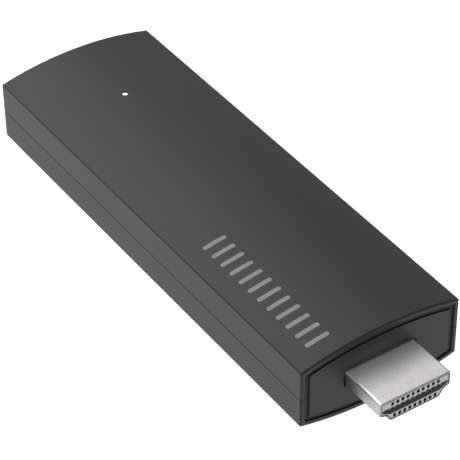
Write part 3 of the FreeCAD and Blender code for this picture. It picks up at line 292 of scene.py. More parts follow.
def button_ring(y, grow):
    """Outline of the button's face at y, a bar with round ends, grown all round."""
    radius = BUTTON_HEIGHT / 2 + grow
    run = (BUTTON_LENGTH - BUTTON_HEIGHT) / 2
    points = []
    for side in (1, -1):
        for step in range(BUTTON_STEPS + 1):
            turn = side * math.pi / 2 - math.pi * step / BUTTON_STEPS
            x = BUTTON_X + side * run + radius * math.cos(turn)
            points.append(Vector((x, y, BUTTON_Z + radius * math.sin(turn))))
    return points


def mouth(surface, outward, depth, bevel, past):
    """Steps of a cutter through a surface: the place of each, and how much wider the cutter is there."""
    return [
        (surface - outward * depth, 0.0),
        (surface - outward * (bevel - past), 0.0),
        (surface + outward * past, bevel),
        (surface + outward * OVERRUN, bevel),
    ]


# Meshes

def add_loft(mesh, rings, tube=False):
    """Closed skin through rings of points. Its ends are flat faces, or joined where it is a tube."""
    loops = [[mesh.verts.new(point * MM) for point in ring] for ring in rings]
    pairs = list(zip(loops, loops[1:] + loops[:1]))
    for first, second in pairs if tube else pairs[:-1]:
        for i in range(len(first)):
            mesh.faces.new((first[i - 1], first[i], second[i], second[i - 1]))
    if not tube:
        mesh.faces.new(loops[0])
        mesh.faces.new(loops[-1])


def lofted(name, rings, tube=False):
    mesh = bmesh.new()
    add_loft(mesh, rings, tube)
    return as_object(name, mesh)


def as_object(name, mesh):
    bmesh.ops.remove_doubles(mesh, verts=mesh.verts, dist=1e-7)
    bmesh.ops.recalc_face_normals(mesh, faces=mesh.faces)
    if mesh.calc_volume(signed=True) < 0:
        bmesh.ops.reverse_faces(mesh, faces=mesh.faces)
    data = bpy.data.meshes.new(name)
    mesh.to_mesh(data)
    mesh.free()
    piece = bpy.data.objects.new(name, data)
    bpy.context.scene.collection.objects.link(piece)
    return piece


def carve(piece, *cutters):
    """Cut the cutters out of the piece for good, and throw them away."""
    for cutter in cutters:
        modifier = piece.modifiers.new("cut", "BOOLEAN")
        modifier.operation = "DIFFERENCE"
        modifier.solver = "EXACT"
        modifier.object = cutter
    bpy.context.view_layer.update()
    shape = bpy.data.meshes.new_from_object(piece.evaluated_get(bpy.context.evaluated_depsgraph_get()))
    piece.modifiers.clear()
    piece.data = shape
    for cutter in cutters:
        bpy.data.objects.remove(cutter)


def keep_side(piece, height, upper):
    """Keep what lies above a height, or below it, close the cut and bevel its edges."""
    mesh = bmesh.new()
    mesh.from_mesh(piece.data)
    everything = mesh.verts[:] + mesh.edges[:] + mesh.faces[:]
    cut = bmesh.ops.bisect_plane(
        mesh, geom=everything, plane_co=(0, 0, height * MM), plane_no=(0, 0, 1),
        clear_inner=upper, clear_outer=not upper,
    )
    edges = [thing for thing in cut["geom_cut"] if isinstance(thing, bmesh.types.BMEdge)]
    closed = bmesh.ops.holes_fill(mesh, edges=edges, sides=0)
    rim = set(edge for face in closed["faces"] for edge in face.edges)
    bmesh.ops.bevel(mesh, geom=list(rim), offset=SEAM_BEVEL * MM, segments=2, profile=0.5, affect="EDGES")
    bmesh.ops.recalc_face_normals(mesh, faces=mesh.faces)
    mesh.to_mesh(piece.data)
    mesh.free()


def shade(piece):
    """Smooth shading that keeps the flat faces flat and breaks at sharp corners."""
    piece.data.shade_smooth()
    piece.data.set_sharp_from_angle(angle=math.radians(SHARP_ANGLE))
    weights = piece.modifiers.new("flat faces", "WEIGHTED_NORMAL")
    weights.keep_sharp = True
    weights.weight = 100


def dress(piece, finish, slot, body, *nodes):
    """Shade a new piece, give it its finish, and put it in place of its nodes on their body."""
    shade(piece)
    piece.data.materials.clear()
    piece.data.materials.append(finish)
    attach(piece, body)
    if nodes:
        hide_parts(*nodes)
    return piece


# Finishes

class Wire:
    """A socket that gives a number, a colour or a vector. Arithmetic on it adds Math nodes."""

    def __init__(self, graph, socket):
        self.graph = graph
        self.socket = socket

    def math(self, operation, *values):
        return self.graph.node("ShaderNodeMath", {"operation": operation}, dict(enumerate(values)))

    def __add__(self, other):
        return self.math("ADD", self, other)

    def __radd__(self, other):
        return self.math("ADD", other, self)

    def __sub__(self, other):
        return self.math("SUBTRACT", self, other)

    def __rsub__(self, other):
        return self.math("SUBTRACT", other, self)

    def __mul__(self, other):
        return self.math("MULTIPLY", self, other)

    def __rmul__(self, other):
        return self.math("MULTIPLY", other, self)

    def __abs__(self):
        return self.math("ABSOLUTE", self)

    def larger(self, other):
        return self.math("MAXIMUM", self, other)

    def wrapped(self, size):
        """The rest after whole steps of a size."""
        return self.math("FLOORED_MODULO", self, size)

    def rise(self, start, end):
        """From 0 at start, smoothly, to 1 at end. It falls where end is below start."""
        return self.graph.node(
            "ShaderNodeMapRange", {"interpolation_type": "SMOOTHSTEP"},
            {"Value": self, "From Min": start, "From Max": end, "To Min": 0.0, "To Max": 1.0},
        )


class Graph:
    """The nodes of one material, or of the world."""

    def __init__(self, owner):
        owner.use_nodes = True
        self.nodes = owner.node_tree.nodes
        self.links = owner.node_tree.links

    def node(self, kind, settings=None, inputs=None, output=0):
        """Add a node: its settings first, then the values or links of its sockets."""
        node = self.nodes.new(kind)
        for name, value in (settings or {}).items():
            setattr(node, name, value)
        for name, value in (inputs or {}).items():
            self.connect(node.inputs[name], value)
        return Wire(self, node.outputs[output])

    def connect(self, socket, value):
        if isinstance(value, Wire):
            self.links.new(value.socket, socket)
        else:
            socket.default_value = value

    def parts(self, vector):
        """The x, y and z of a vector."""
        outputs = self.node("ShaderNodeSeparateXYZ", None, {0: vector}).socket.node.outputs
        return tuple(Wire(self, output) for output in outputs)


class Finish(Graph):
    """A material made of nodes round one Principled shader."""

    def __init__(self, name, **constants):
        self.material = bpy.data.materials.new(name)
        super().__init__(self.material)
        self.shader = self.nodes["Principled BSDF"]
        self.feed(**constants)

    def feed(self, **sockets):
        """Values or links of the shader's own sockets, such as base_color."""
        for name, value in sockets.items():
            title = name.replace("_", " ").title().replace("Ior", "IOR")
            self.connect(self.shader.inputs[title], value)

    def place(self):
        """Where a point lies, in millimetres of the stick's frame: the vector, then x, y and z."""
        position = self.node("ShaderNodeTexCoord", output="Object")
        scaled = self.node(
            "ShaderNodeVectorMath", {"operation": "SCALE"}, {0: position, "Scale": 1 / MM}
        )
        return scaled, *self.parts(scaled)

    def facing(self):
        """The surface's direction, as x, y and z."""
        return self.parts(self.node("ShaderNodeTexCoord", output="Normal"))

    def stretched(self, vector, x, y, z):
        """The vector with each axis scaled, for grain that runs along one of them."""
        return self.node("ShaderNodeVectorMath", {"operation": "MULTIPLY"}, {0: vector, 1: (x, y, z)})

    def noise(self, vector, size, detail=2.0, roughness=0.5):
        """Soft mottling from 0 to 1, whose patches are about size across."""
        return self.node(
            "ShaderNodeTexNoise", None,
            {"Vector": vector, "Scale": 1 / size, "Detail": detail, "Roughness": roughness},
        )

    def cells(self, vector, size):
        """Distance to the middle of the nearest cell, for pits."""
        return self.node("ShaderNodeTexVoronoi", None, {"Vector": vector, "Scale": 1 / size})

    def blend(self, factor, first, second):
        """Colour between two colours."""
        return self.node(
            "ShaderNodeMix", {"data_type": "RGBA"},
            {"Factor": factor, "A": first, "B": second}, "Result",
        )

    def paint_shade(self, amount, tone):
        """Paint shade: put a matt dark skin over the surface, wherever amount is 1."""
        skin = self.node("ShaderNodeBsdfPrincipled", None, {
            "Base Color": tone, "Roughness": 0.8, "Specular IOR Level": 0.12,
        })
        surface = Wire(self, self.shader.outputs["BSDF"])
        mixed = self.node("ShaderNodeMixShader", None, {0: amount, 1: surface, 2: skin})
        self.links.new(mixed.socket, self.nodes["Material Output"].inputs["Surface"])

    def relief(self, height, depth):
        """Bumps whose height from 0 to 1 stands for a depth in millimetres."""
        self.feed(normal=self.node(
            "ShaderNodeBump", None, {"Height": height, "Distance": depth * MM, "Strength": 1.0}
        ))


def colour(red, green, blue):
    return (red, green, blue, 1.0)


def grey(value):
    return colour(value, value, value)


def tinted(base, share):
    """The colour, lighter or darker."""
    return colour(*(channel * share for channel in base[:3]))


BLACK = grey(0.0)
# Tones of painted shade, of painted light on the bezel, and of the painted glow in the slot
DEEP_SHADE = grey(0.004)
PAINTED_LIGHT_PLASTIC = grey(0.085)
SLOT_PAINTED_GLOW = grey(0.023)


def rounding_mask(face_x, face_y, face_z):
    """Painted shade where a surface turns a corner: along the long edges, round the ends and up the
    corners.
    """
    long_edge = (face_y * face_z).rise(0.27, 0.40)
    end_edge = (face_x * face_z).rise(0.06, 0.30)
    upright_edge = (face_x * face_y).rise(0.1, 0.40)
    along_top = (long_edge * LONG_EDGE_SHADE).larger(end_edge * END_EDGE_SHADE)
    return along_top.larger(upright_edge * UPRIGHT_EDGE_SHADE)


def moulded(
    name, base, roughness=0.5, grain=0.09, depth=0.004,
    hollow=None, shaded_floor_tone=DEEP_SHADE, painted_light=None,
):
    """Fine-grained moulded plastic, with painted shade on its rounded edges and faces toward the plug.

    hollow(x, y, z) is 1 down in a gap, where shade is painted and whose floor has a tone of its own,
    and painted_light(x, y, z) is 1 where more light falls on the plastic and is painted on.
    """
    finish = Finish(name, ior=1.48)
    where, x, y, z = finish.place()
    facing = finish.facing()
    face_x, face_y, face_z = (abs(part) for part in facing)
    cloud = finish.noise(where, 14.0, detail=3.0)
    speck = finish.noise(where, grain, detail=1.0)
    tone = finish.blend(cloud * 0.6 + speck * 0.4, base, tinted(base, 1.25))
    if painted_light:
        tone = finish.blend(painted_light(x, y, z), tone, PAINTED_LIGHT_PLASTIC)
    finish.feed(
        base_color=tone,
        roughness=roughness + (cloud - 0.5) * 0.06 + (speck - 0.5) * 0.06,
    )
    # Painted shade on rounded edges, on faces toward the plug and down in gaps
    plug_end = facing[0].rise(0.8, 0.95)
    dark = rounding_mask(face_x, face_y, face_z).larger(plug_end * PLUG_END_SHADE)
    if hollow:
        dark = dark.larger(hollow(x, y, z))
    steep = face_x.rise(0.95, 0.6)
    finish.paint_shade(dark, finish.blend(steep, shaded_floor_tone, DEEP_SHADE))
    finish.relief(speck, depth)
    return finish.material


def case_plastic():
    """Charcoal plastic, with painted shade down in the seam between the covers."""
    return moulded(
        "case plastic", colour(0.0150, 0.0162, 0.0158),
        hollow=lambda x, y, z: abs(z - SEAM).rise(0.11, 0.07) * SEAM_SHADE,
    )


def above_plug(x, y, z):
    """Soft patch of painted light on the bezel over the plug, where the plug's top throws light back on
    it.
    """
    upward = z.rise(PLUG_MIDDLE, plug_high.z) * z.rise(PATCH_TOP, PATCH_FULL)
    return upward * abs(y - PATCH_MIDDLE).rise(PATCH_REACH, 0.5)


def bezel_plastic():
    """The case's plastic, with painted shade down in the groove round the face, and painted light above
    the plug.
    """
    return moulded(
        "bezel plastic", colour(0.0088, 0.0095, 0.0093), grain=0.11, shaded_floor_tone=grey(0.050),
        hollow=lambda x, y, z: x.rise(FACE - 0.1, FACE - 0.3), painted_light=above_plug,
    )


def button_plastic():
    return moulded("button plastic", grey(0.016), roughness=0.42, grain=0.06, depth=0.002)


def print_ink():
    """Matt grey ink, thin enough to take the grain of the plastic under it."""
    finish = Finish("print ink", ior=1.45)
    where, x, y, z = finish.place()
    speck = finish.noise(where, 0.12, detail=2.0)
    finish.feed(
        base_color=finish.blend(speck, colour(0.255, 0.268, 0.272), colour(0.295, 0.308, 0.312)),
        roughness=0.55 + speck * 0.1,
    )
    finish.relief(speck, 0.002)
    return finish.material


def plated(name, base, roughness, grain, depth, tarnish=0.9, brushed=None):
    """Plated or blasted metal with a fine grain, or with brush marks along one axis."""
    finish = Finish(name, metallic=1.0)
    where, x, y, z = finish.place()
    vector = finish.stretched(where, *brushed) if brushed else where
    speck = finish.noise(vector, grain, detail=2.0, roughness=0.6)
    cloud = finish.noise(where, 6.0, detail=3.0)
    finish.feed(
        base_color=finish.blend(cloud * 0.5 + speck * 0.5, tinted(base, tarnish), base),
        roughness=roughness + (speck - 0.5) * 0.16 + (cloud - 0.5) * 0.05,
    )
    finish.relief(speck, depth)
    return finish


def plug_nickel():
    """Blasted nickel, with painted sheen and highlights, and the dark bezel's reflection painted on its
    sides.
    """
    finish = Finish("plug nickel")
    where, x, y, z = finish.place()
    face_x, face_y, face_z = finish.facing()
    fine = finish.noise(where, 0.13, detail=2.0, roughness=0.7)
    coarse = finish.noise(where, 0.3, detail=2.0, roughness=0.7)
    grain = (fine * 0.5 + coarse * 0.5).rise(0.34, 0.66)
    out = x - FACE
    near_bezel = out.rise(5.0, 0.3)
    # Painted shade: the dark bezel's reflection on the sides, and shade on edges, tip and inside
    on_side = abs(face_y).rise(0.8, 0.95) * (near_bezel * SIDE_SHADE_NEAR_BEZEL + SIDE_SHADE)
    top = face_z.rise(0.85, 0.97)
    on_top = out.rise(9.0, 1.0) * top
    # Painted sheen on the top, a little way out from the bezel
    painted_sheen = out.rise(0.3, 2.2) * out.rise(8.5, 5.2) * top
    far_edge = (face_y * face_z).rise(0.1, 0.35) * x.rise(TIP + 0.1, TIP - 0.2) * FAR_EDGE_SHADE
    under_edge = abs(face_y).rise(0.6, 0.9) * face_z.rise(0.06, 0.28) * UNDER_EDGE_SHADE
    near_tip = (face_x * face_y).rise(-0.08, -0.3) * TIP_SHADE
    inward = (face_y * y + face_z * (z - PLUG_MIDDLE) * 3).rise(-0.1, -0.5)
    shade = on_side.larger(far_edge).larger(under_edge).larger(near_tip).larger(inward)
    blasted = finish.blend(grain, colour(0.665, 0.65, 0.645), colour(0.845, 0.83, 0.825))
    sheen_tone = finish.blend(grain, colour(0.81, 0.795, 0.79), colour(0.985, 0.97, 0.965))
    # Painted highlight along the top edges, less metallic near the bezel
    edge = (abs(face_y) * face_z).rise(0.2, 0.45)
    bright = finish.blend(edge, finish.blend(painted_sheen, blasted, sheen_tone), grey(0.92))
    finish.feed(
        base_color=finish.blend(shade, bright, colour(0.03, 0.029, 0.03)),
        metallic=1 - (on_top * 0.85).larger(edge * near_bezel * 0.9),
        roughness=0.47 + (grain - 0.5) * 0.1 - edge * 0.12 - top * 0.09,
    )
    finish.relief(grain, 0.0045)
    return finish.material


def window_row(y, z, height, count):
    """A row of soft-edged square marks of painted shade, one for each contact: 1 inside a mark, 0
    outside.
    """
    reach = count * CONTACT_PITCH / 2
    shift = count % 2 * CONTACT_PITCH / 2
    from_middle = abs((y + shift).wrapped(CONTACT_PITCH) - CONTACT_PITCH / 2)
    across = from_middle.rise(WINDOW_HALF_WIDTH + SOFT_EDGE, WINDOW_HALF_WIDTH - SOFT_EDGE)
    along = abs(z - height).rise(WINDOW_HALF_HEIGHT + SOFT_EDGE, WINDOW_HALF_HEIGHT - SOFT_EDGE)
    return across * along * abs(y).rise(reach + 0.02, reach)


def insulator_moulding():
    """Light grey moulding with painted shade: black windows, a dark rim and teeth; and a painted glow in
    the dim slot.
    """
    finish = Finish("plug insulator", ior=1.5, emission_strength=1.0)
    where, x, y, z = finish.place()
    speck = finish.noise(where, 0.12)
    facing_front = finish.facing()[0].rise(0.4, 0.6)
    rise = z - PLUG_MIDDLE
    floor = -SLOT_BELOW - SLOT_CORNERS
    in_slot = rise.rise(floor - 0.02, floor + 0.02) * rise.rise(SLOT_ABOVE + 0.04, SLOT_ABOVE)
    tooth_low = SLOT_ABOVE - TOOTH_HEIGHT
    # Painted shade on the teeth at the top of the slot
    tooth_shade = in_slot * rise.rise(tooth_low - SOFT_EDGE, tooth_low + SOFT_EDGE)
    windows = window_row(y, z, UPPER_WINDOWS, UPPER_CONTACTS)
    windows = windows.larger(window_row(y, z, LOWER_WINDOWS, LOWER_CONTACTS))
    # Painted shade on the rim by the shell
    rim_z = insulator_high.z - DARK_RIM
    rim_y = insulator_high.y - DARK_RIM
    rim_shade = z.rise(rim_z - 0.04, rim_z + 0.02).larger(abs(y).rise(rim_y - 0.02, rim_y + 0.04))
    skin = finish.blend(speck, grey(0.49), grey(0.56))
    front = finish.blend((tooth_shade * 0.55).larger(rim_shade * 0.7), skin, grey(0.08))
    finish.feed(
        base_color=finish.blend(facing_front, grey(0.105), front),
        # The slot's faces get a painted glow
        emission_color=finish.blend(facing_front, finish.blend(in_slot, BLACK, SLOT_PAINTED_GLOW), BLACK),
        roughness=0.42 + speck * 0.12,
    )
    # Painted shade: the windows' insides and the faces that don't look forward are black, but for those
    # of the slot
    behind = (1 - facing_front) * (1 - in_slot)
    finish.paint_shade((windows * facing_front).larger(behind), grey(0.001))
    finish.relief(speck, 0.003)
    return finish.material


def contact_gold():
    """Pale gold, with a painted glow for the slot's dim light on it."""
    finish = plated("contact gold", colour(0.88, 0.76, 0.54), 0.24, 0.2, 0.001)
    finish.feed(emission_color=SLOT_PAINTED_GLOW, emission_strength=0.8)
    return finish.material


def board_mask():
    """Dark green solder mask over copper, with tracks, drilled vias and bare pads."""
    finish = Finish("board mask", ior=1.55, coat_roughness=0.2)
    where, x, y, z = finish.place()
    track = abs(y.wrapped(0.9) - 0.45).rise(0.16, 0.12)
    stretch = finish.noise(finish.stretched(where, 0.2, 1.0, 1.0), 1.6, detail=0.0).rise(0.46, 0.5)
    via = (abs(x.wrapped(3.1) - 1.55).larger(abs(y.wrapped(2.7) - 1.35))).rise(0.3, 0.22)
    glass = finish.noise(where, 0.25)
    mask = finish.blend(track * stretch, colour(0.008, 0.050, 0.026), colour(0.016, 0.090, 0.045))
    finish.feed(
        base_color=finish.blend(via, mask, colour(0.55, 0.42, 0.20)),
        metallic=via,
        roughness=0.36 + glass * 0.12,
        coat_weight=0.4 - via * 0.4,
    )
    finish.relief(track * stretch + via * 0.5, 0.03)
    return finish.material


def chip_epoxy():
    finish = Finish("chip epoxy", ior=1.55)
    where, x, y, z = finish.place()
    grain = finish.noise(where, 0.12, detail=3.0)
    finish.feed(base_color=finish.blend(grain, grey(0.012), grey(0.022)), roughness=0.5 + grain * 0.2)
    finish.relief(grain, 0.006)
    return finish.material


def small_chip(name, node, body):
    """Tiny chips that lie across the stick, with tinned ends."""
    low, high = node_box(node)
    finish = Finish(name, ior=1.6)
    where, x, y, z = finish.place()
    tin = abs(y - (low.y + high.y) / 2).rise(0.26, 0.3)
    grain = finish.noise(where, 0.1)
    face = finish.blend(grain, body, tinted(body, 1.25))
    finish.feed(
        base_color=finish.blend(tin, face, grey(0.6)), metallic=tin, roughness=0.32 + grain * 0.12
    )
    finish.relief(grain, 0.004)
    return finish.material


def ferrite():
    finish = Finish("ferrite", ior=1.7)
    where, x, y, z = finish.place()
    pit = finish.cells(where, 0.3).rise(0.1, 0.5)
    cloud = finish.noise(where, 1.5)
    finish.feed(base_color=finish.blend(cloud, grey(0.05), grey(0.085)), roughness=0.55 + pit * 0.2)
    finish.relief(pit, 0.01)
    return finish.material


def crystal_can():
    return plated("crystal can", colour(0.78, 0.74, 0.64), 0.25, 0.3, 0.002).material


def shield_steel():
    return plated("shield steel", grey(0.62), 0.3, 0.35, 0.003, 0.85, brushed=(0.2, 1.0, 1.0)).material


def spreader_metal():
    return plated("spreader", grey(0.72), 0.34, 0.15, 0.004, 0.9, brushed=(0.04, 1.0, 1.0)).material


def antenna_metal():
    return plated("antenna metal", colour(0.80, 0.68, 0.52), 0.28, 0.3, 0.002).material


def screw_steel():
    return plated("screw steel", grey(0.34), 0.35, 0.2, 0.003, 0.8).material


def spring_steel():
    return plated("spring steel", grey(0.60), 0.22, 0.2, 0.001).material


def socket_metal():
    return plated("socket shell", colour(0.66, 0.65, 0.63), 0.28, 0.16, 0.002, 0.85).material


def thermal_pad():
    """Soft silicone sheet with a woven carrier pressed into it."""
    finish = Finish("thermal pad", ior=1.42)
    where, x, y, z = finish.place()
    weave = abs(x.wrapped(0.6) - 0.3) + abs(y.wrapped(0.6) - 0.3)
    cloud = finish.noise(where, 2.0)
    finish.feed(
        base_color=finish.blend(cloud, colour(0.34, 0.42, 0.50), colour(0.42, 0.50, 0.57)),
        roughness=0.75 + cloud * 0.1,
    )
    finish.relief(weave, 0.03)
    return finish.material


def lens_plastic():
    """Milky light guide, lit from below."""
    finish = Finish("light guide", ior=1.49, emission_strength=0.9)
    where, x, y, z = finish.place()
    cloud = finish.noise(where, 0.5)
    finish.feed(
        base_color=finish.blend(cloud, grey(0.82), grey(0.9)),
        emission_color=finish.blend(cloud, grey(0.85), grey(0.95)),
        roughness=0.2 + cloud * 0.1,
    )
    finish.relief(cloud, 0.003)
    return finish.material


def light_body():
    """White package with a yellow window over its chip."""
    finish = Finish("indicator", ior=1.5)
    where, x, y, z = finish.place()
    window = abs(x - LIGHT_X).larger(abs(y) + 0.2).rise(0.55, 0.5)
    speck = finish.noise(where, 0.08)
    shell = finish.blend(speck, grey(0.72), grey(0.8))
    finish.feed(
        base_color=finish.blend(window, shell, colour(0.85, 0.62, 0.08)), roughness=0.35 + speck * 0.1
    )
    finish.relief(speck, 0.002)
    return finish.material


def black_moulding(name, base):
    """Glass-filled nylon, with short fibres that show in the surface."""
    finish = Finish(name, ior=1.52)
    where, x, y, z = finish.place()
    fibre = finish.noise(finish.stretched(where, 0.3, 1.0, 1.0), 0.12, detail=2.0)
    finish.feed(
        base_color=finish.blend(fibre, base, tinted(base, 1.6)),
        roughness=0.45 + fibre * 0.15,
    )
    finish.relief(fibre, 0.004)
    return finish.material


# Pieces

def case_rings():
    """Rings of the case from its far face, along its outside, over the rim and back inside."""
    rings = [(FAR + back, inset, EDGE_ROUND - inset) for inset, back in quarter(EDGE_ROUND)]
    for inset, back in reversed(quarter(FRONT_ROUND)):
        rings.append((FACE - back, inset, max(EDGE_ROUND - inset, SMALL_ROUND)))
    for outset, back in quarter(SMALL_ROUND):
        rings.append((FACE - back, RIM - outset, SMALL_ROUND))
    seat_back = FACE - GROOVE_DEPTH - BEZEL_FLANGE
    for x, inset in ((seat_back, RIM), (seat_back, WALL), (FAR + WALL, WALL)):
        rings.append((x, inset, SMALL_ROUND))
    return [on_section(x, case_section(inset, rounding)) for x, inset, rounding in rings]


def light_hole():
    """Cutter for the light's hole, a little wider at its mouth."""
    steps = mouth(TOP, 1, depth=3 * WALL, bevel=0.05, past=0.02)
    return lofted("light_hole", [turned_ring(LIGHT_X, 0, z, LIGHT_HOLE + grow) for z, grow in steps])


def button_hole():
    """Cutter for the button's hole, a little wider at its mouth."""
    steps = mouth(HALF_WIDTH, 1, depth=2 * WALL, bevel=0.15, past=0.03)
    return lofted("button_hole", [button_ring(y, BUTTON_GAP + grow) for y, grow in steps])


def port_hole():
    """Cutter for the power socket's opening in the far face, a little wider at its mouth."""
    rings = []
    for x, grow in mouth(FAR, -1, depth=2 * WALL, bevel=0.15, past=0.03):
        wide = SOCKET_HALF_WIDTH + PORT_GAP + grow
        high = SOCKET_HALF_HEIGHT + PORT_GAP + grow
        right = [((wide, PLUG_MIDDLE + z), PORT_ROUND + grow) for z in (-high, high)]
        rings.append(folded_ring(x, mirrored(right), 0.0))
    return lofted("port_hole", rings)


def covers(plastic):
    upper = lofted("upper_cover", case_rings())
    keep_side(upper, SEAM + SEAM_OPEN / 2, upper=True)
    carve(upper, light_hole(), button_hole(), port_hole())
    dress(upper, plastic, "case", "case", "top_cover")
    lower = lofted("lower_cover", case_rings())
    keep_side(lower, SEAM - SEAM_OPEN / 2, upper=False)
    carve(lower, port_hole())
    dress(lower, plastic, "case", "case", "bottom_cover")


def plug_ring(x, inset):
    """The plug's outline at x, moved in by inset: upright sides, and hollow flanks to its foot."""
    side = plug_high.z - PLUG_SIDE
    return folded_ring(x, mirrored([
        ((FOOT_HALF, plug_low.z), FOOT_BEND),
        ((SHOULDER_HALF, side - SHOULDER_DROP), -FLANK_BEND),
        ((PLUG_HALF_WIDTH, side), SHOULDER_BEND),
        ((PLUG_HALF_WIDTH, plug_high.z), TOP_BEND),
    ]), inset)


def bezel(plastic):
    """Stepped plate: its flange sits behind the rim, and its face stands level with the rim."""
    shelf = FACE - GROOVE_DEPTH
    rings = [(bezel_low.x, RIM + SEAT_GAP), (shelf, RIM + SEAT_GAP), (shelf, RIM + GROOVE)]
    rings += [(FACE - back, RIM + GROOVE + inset) for back, inset in quarter(SMALL_ROUND)]
    plate = lofted("end_plate", [
        on_section(x, case_section(inset, SMALL_ROUND)) for x, inset in rings
    ])
    steps = mouth(FACE, 1, depth=FACE - bezel_low.x + OVERRUN, bevel=0.1, past=0.02)
    carve(plate, lofted("plug_hole", [plug_ring(x, -PLUG_GAP - grow) for x, grow in steps]))
    dress(plate, plastic, "bezel", "case", "front_bezel")


def sleeve(name, ring, back, front, wall):
    """Folded tube whose front edge is broken on its outside. ring(x, inset) gives its outline."""
    outward = math.copysign(1, front - back)
    lip = [(0.22, 0.0), (0.19, 0.01), (0.04, 0.16), (0.0, 0.19), (0.0, wall - 0.06), (0.05, wall)]
    rings = [ring(back, 0.0)]
    rings += [ring(front - outward * setback, inset) for setback, inset in lip]
    rings.append(ring(back, wall))
    return lofted(name, rings, tube=True)


def plug(nickel):
    shell = sleeve("plug_shell", plug_ring, plug_low.x + SHELL_LEGS, TIP, SHELL_WALL)
    dress(shell, nickel, "plug_shell", "case", "hdmi_shell")


def socket_ring(x, inset):
    """The power socket's outline at x: upright sides and drawn-in lower corners."""
    low = PLUG_MIDDLE - SOCKET_HALF_HEIGHT
    high = PLUG_MIDDLE + SOCKET_HALF_HEIGHT
    return folded_ring(x, mirrored([
        ((SOCKET_FOOT_HALF, low), SOCKET_BEND),
        ((SOCKET_HALF_WIDTH, high - SOCKET_SIDE), SOCKET_BEND),
        ((SOCKET_HALF_WIDTH, high), SOCKET_TOP_BEND),
    ]), inset)


def power_socket(metal):
    shell = sleeve("socket_sleeve", socket_ring, socket_high.x, socket_low.x, SHELL_WALL)
    dress(shell, metal, "socket_shell", "case", "usb_shell")


def light_guide(plastic):
    """Pin with a flange, and a slightly domed top."""
    top = pipe_high.z - LIGHT_SUNK
    flat_radius = GUIDE_RADIUS - 0.27
    flange_top = TOP - WALL - SEAT_GAP
    flange_under = flange_top - GUIDE_FLANGE_HEIGHT
    profile = [
        (pipe_low.z, GUIDE_RADIUS), (flange_under, GUIDE_RADIUS),
        (flange_under, GUIDE_FLANGE), (flange_top, GUIDE_FLANGE),
        (flange_top, GUIDE_RADIUS), (top - 0.06, GUIDE_RADIUS),
        (top - 0.03, GUIDE_RADIUS - 0.03), (top - 0.02, flat_radius),
    ]
    guide = lofted("light_guide", [turned_ring(LIGHT_X, 0, z, radius) for z, radius in profile])
    dress(guide, plastic, "lens", "case", "light_pipe")


def side_button(plastic):
    """Cap with a softly rounded face, and the flange that keeps it in."""
    flange = button_low.y + BUTTON_FLANGE
    rings = [(button_low.y, BUTTON_OVERLAP), (flange, BUTTON_OVERLAP), (flange, 0.0)]
    rings += [(button_high.y - back, -inset) for back, inset in quarter(BUTTON_ROUND)]
    cap = lofted("side_button", [button_ring(y, grow) for y, grow in rings])
    dress(cap, plastic, "button_plastic", "button", "reset_button")


def bar_stations():
    """Steps along one bar of the print: where each lies across the stick, and half its width."""
    radius = BAR_WIDTH / 2
    run = BARS_FAR - BARS_NEAR - BAR_WIDTH
    near_end = [
        (BARS_NEAR + back, radius - inset + BAR_END_WIDTH / 2) for inset, back in quarter(radius)[:-1]
    ]
    middle = [(BARS_NEAR + radius + step * run / BAR_STEPS, radius) for step in range(BAR_STEPS + 1)]
    far_end = [(BARS_NEAR + BARS_FAR - y, half) for y, half in reversed(near_end)]
    return near_end + middle + far_end


def top_print(ink):
    """Row of plain rounded bars, printed beside the near edge of the top."""
    pitch = (BARS_END - BARS_START - BAR_WIDTH) / (BARS - 1)
    mesh = bmesh.new()
    for bar in range(BARS):
        middle = BARS_START + BAR_WIDTH / 2 + bar * pitch
        rings = []
        for y, half in bar_stations():
            skin = CROWN_CENTRE + math.sqrt(CROWN_RADIUS ** 2 - y ** 2)
            corners = ((-half, INK_DEPTH), (half, INK_DEPTH), (half, -INK_SUNK), (-half, -INK_SUNK))
            rings.append([Vector((middle + x, y, skin + height)) for x, height in corners])
        add_loft(mesh, rings)
    dress(as_object("top_print", mesh), ink, "case", "case")


def finish_nodes():
    """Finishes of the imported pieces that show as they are."""
    epoxy = chip_epoxy()
    steel = shield_steel()
    gold = contact_gold()
    antenna = antenna_metal()
    pad = thermal_pad()
    finishes = {
        "hdmi_insulator": insulator_moulding(),
        "hdmi_contacts_upper": gold,
        "hdmi_contacts_lower": gold,
        "usb_contacts": gold,
        "main_board": board_mask(),
        "board_screws": screw_steel(),
        "processor": epoxy,
        "memory_chips": epoxy,
        "flash_chip": epoxy,
        "power_chip": epoxy,
        "wifi_chip": epoxy,
        "crystals": crystal_can(),
        "power_inductors": ferrite(),
        "chip_capacitors": small_chip("capacitor ceramic", "chip_capacitors", colour(0.42, 0.30, 0.19)),
        "chip_resistors": small_chip("resistor glaze", "chip_resistors", grey(0.02)),
        "shield_frame": steel,
        "shield_lid": steel,
        "lower_shield_frame": steel,
        "lower_shield_lid": steel,
        "wifi_shield": steel,
        "processor_pad": pad,
        "spreader_pad": pad,
        "heat_spreader": spreader_metal(),
        "antenna_left": antenna,
        "antenna_right": antenna,
        "indicator_light": light_body(),
        "switch_body": black_moulding("switch housing", grey(0.016)),
        "switch_plunger": black_moulding("switch plunger", colour(0.30, 0.28, 0.24)),
        "switch_dome": spring_steel(),
        "usb_tongue": black_moulding("socket moulding", grey(0.014)),
    }
    for name, finish in finishes.items():
        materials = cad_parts[name].data.materials
        materials.clear()
        materials.append(finish)


# Stage

def studio_white(name):
    """Pale matt paper that glows, so that nothing throws a shadow on it."""
    finish = Finish(name, roughness=0.9, specular_ior_level=0.0, emission_strength=FLOOR_GLOW)
    where, x, y, z = finish.place()
    cloud = finish.noise(where, 60.0)
    finish.feed(
        base_color=finish.blend(cloud, grey(0.33), grey(0.35)),
        emission_color=finish.blend(cloud, grey(0.99), grey(1.0)),
    )
    return finish.material


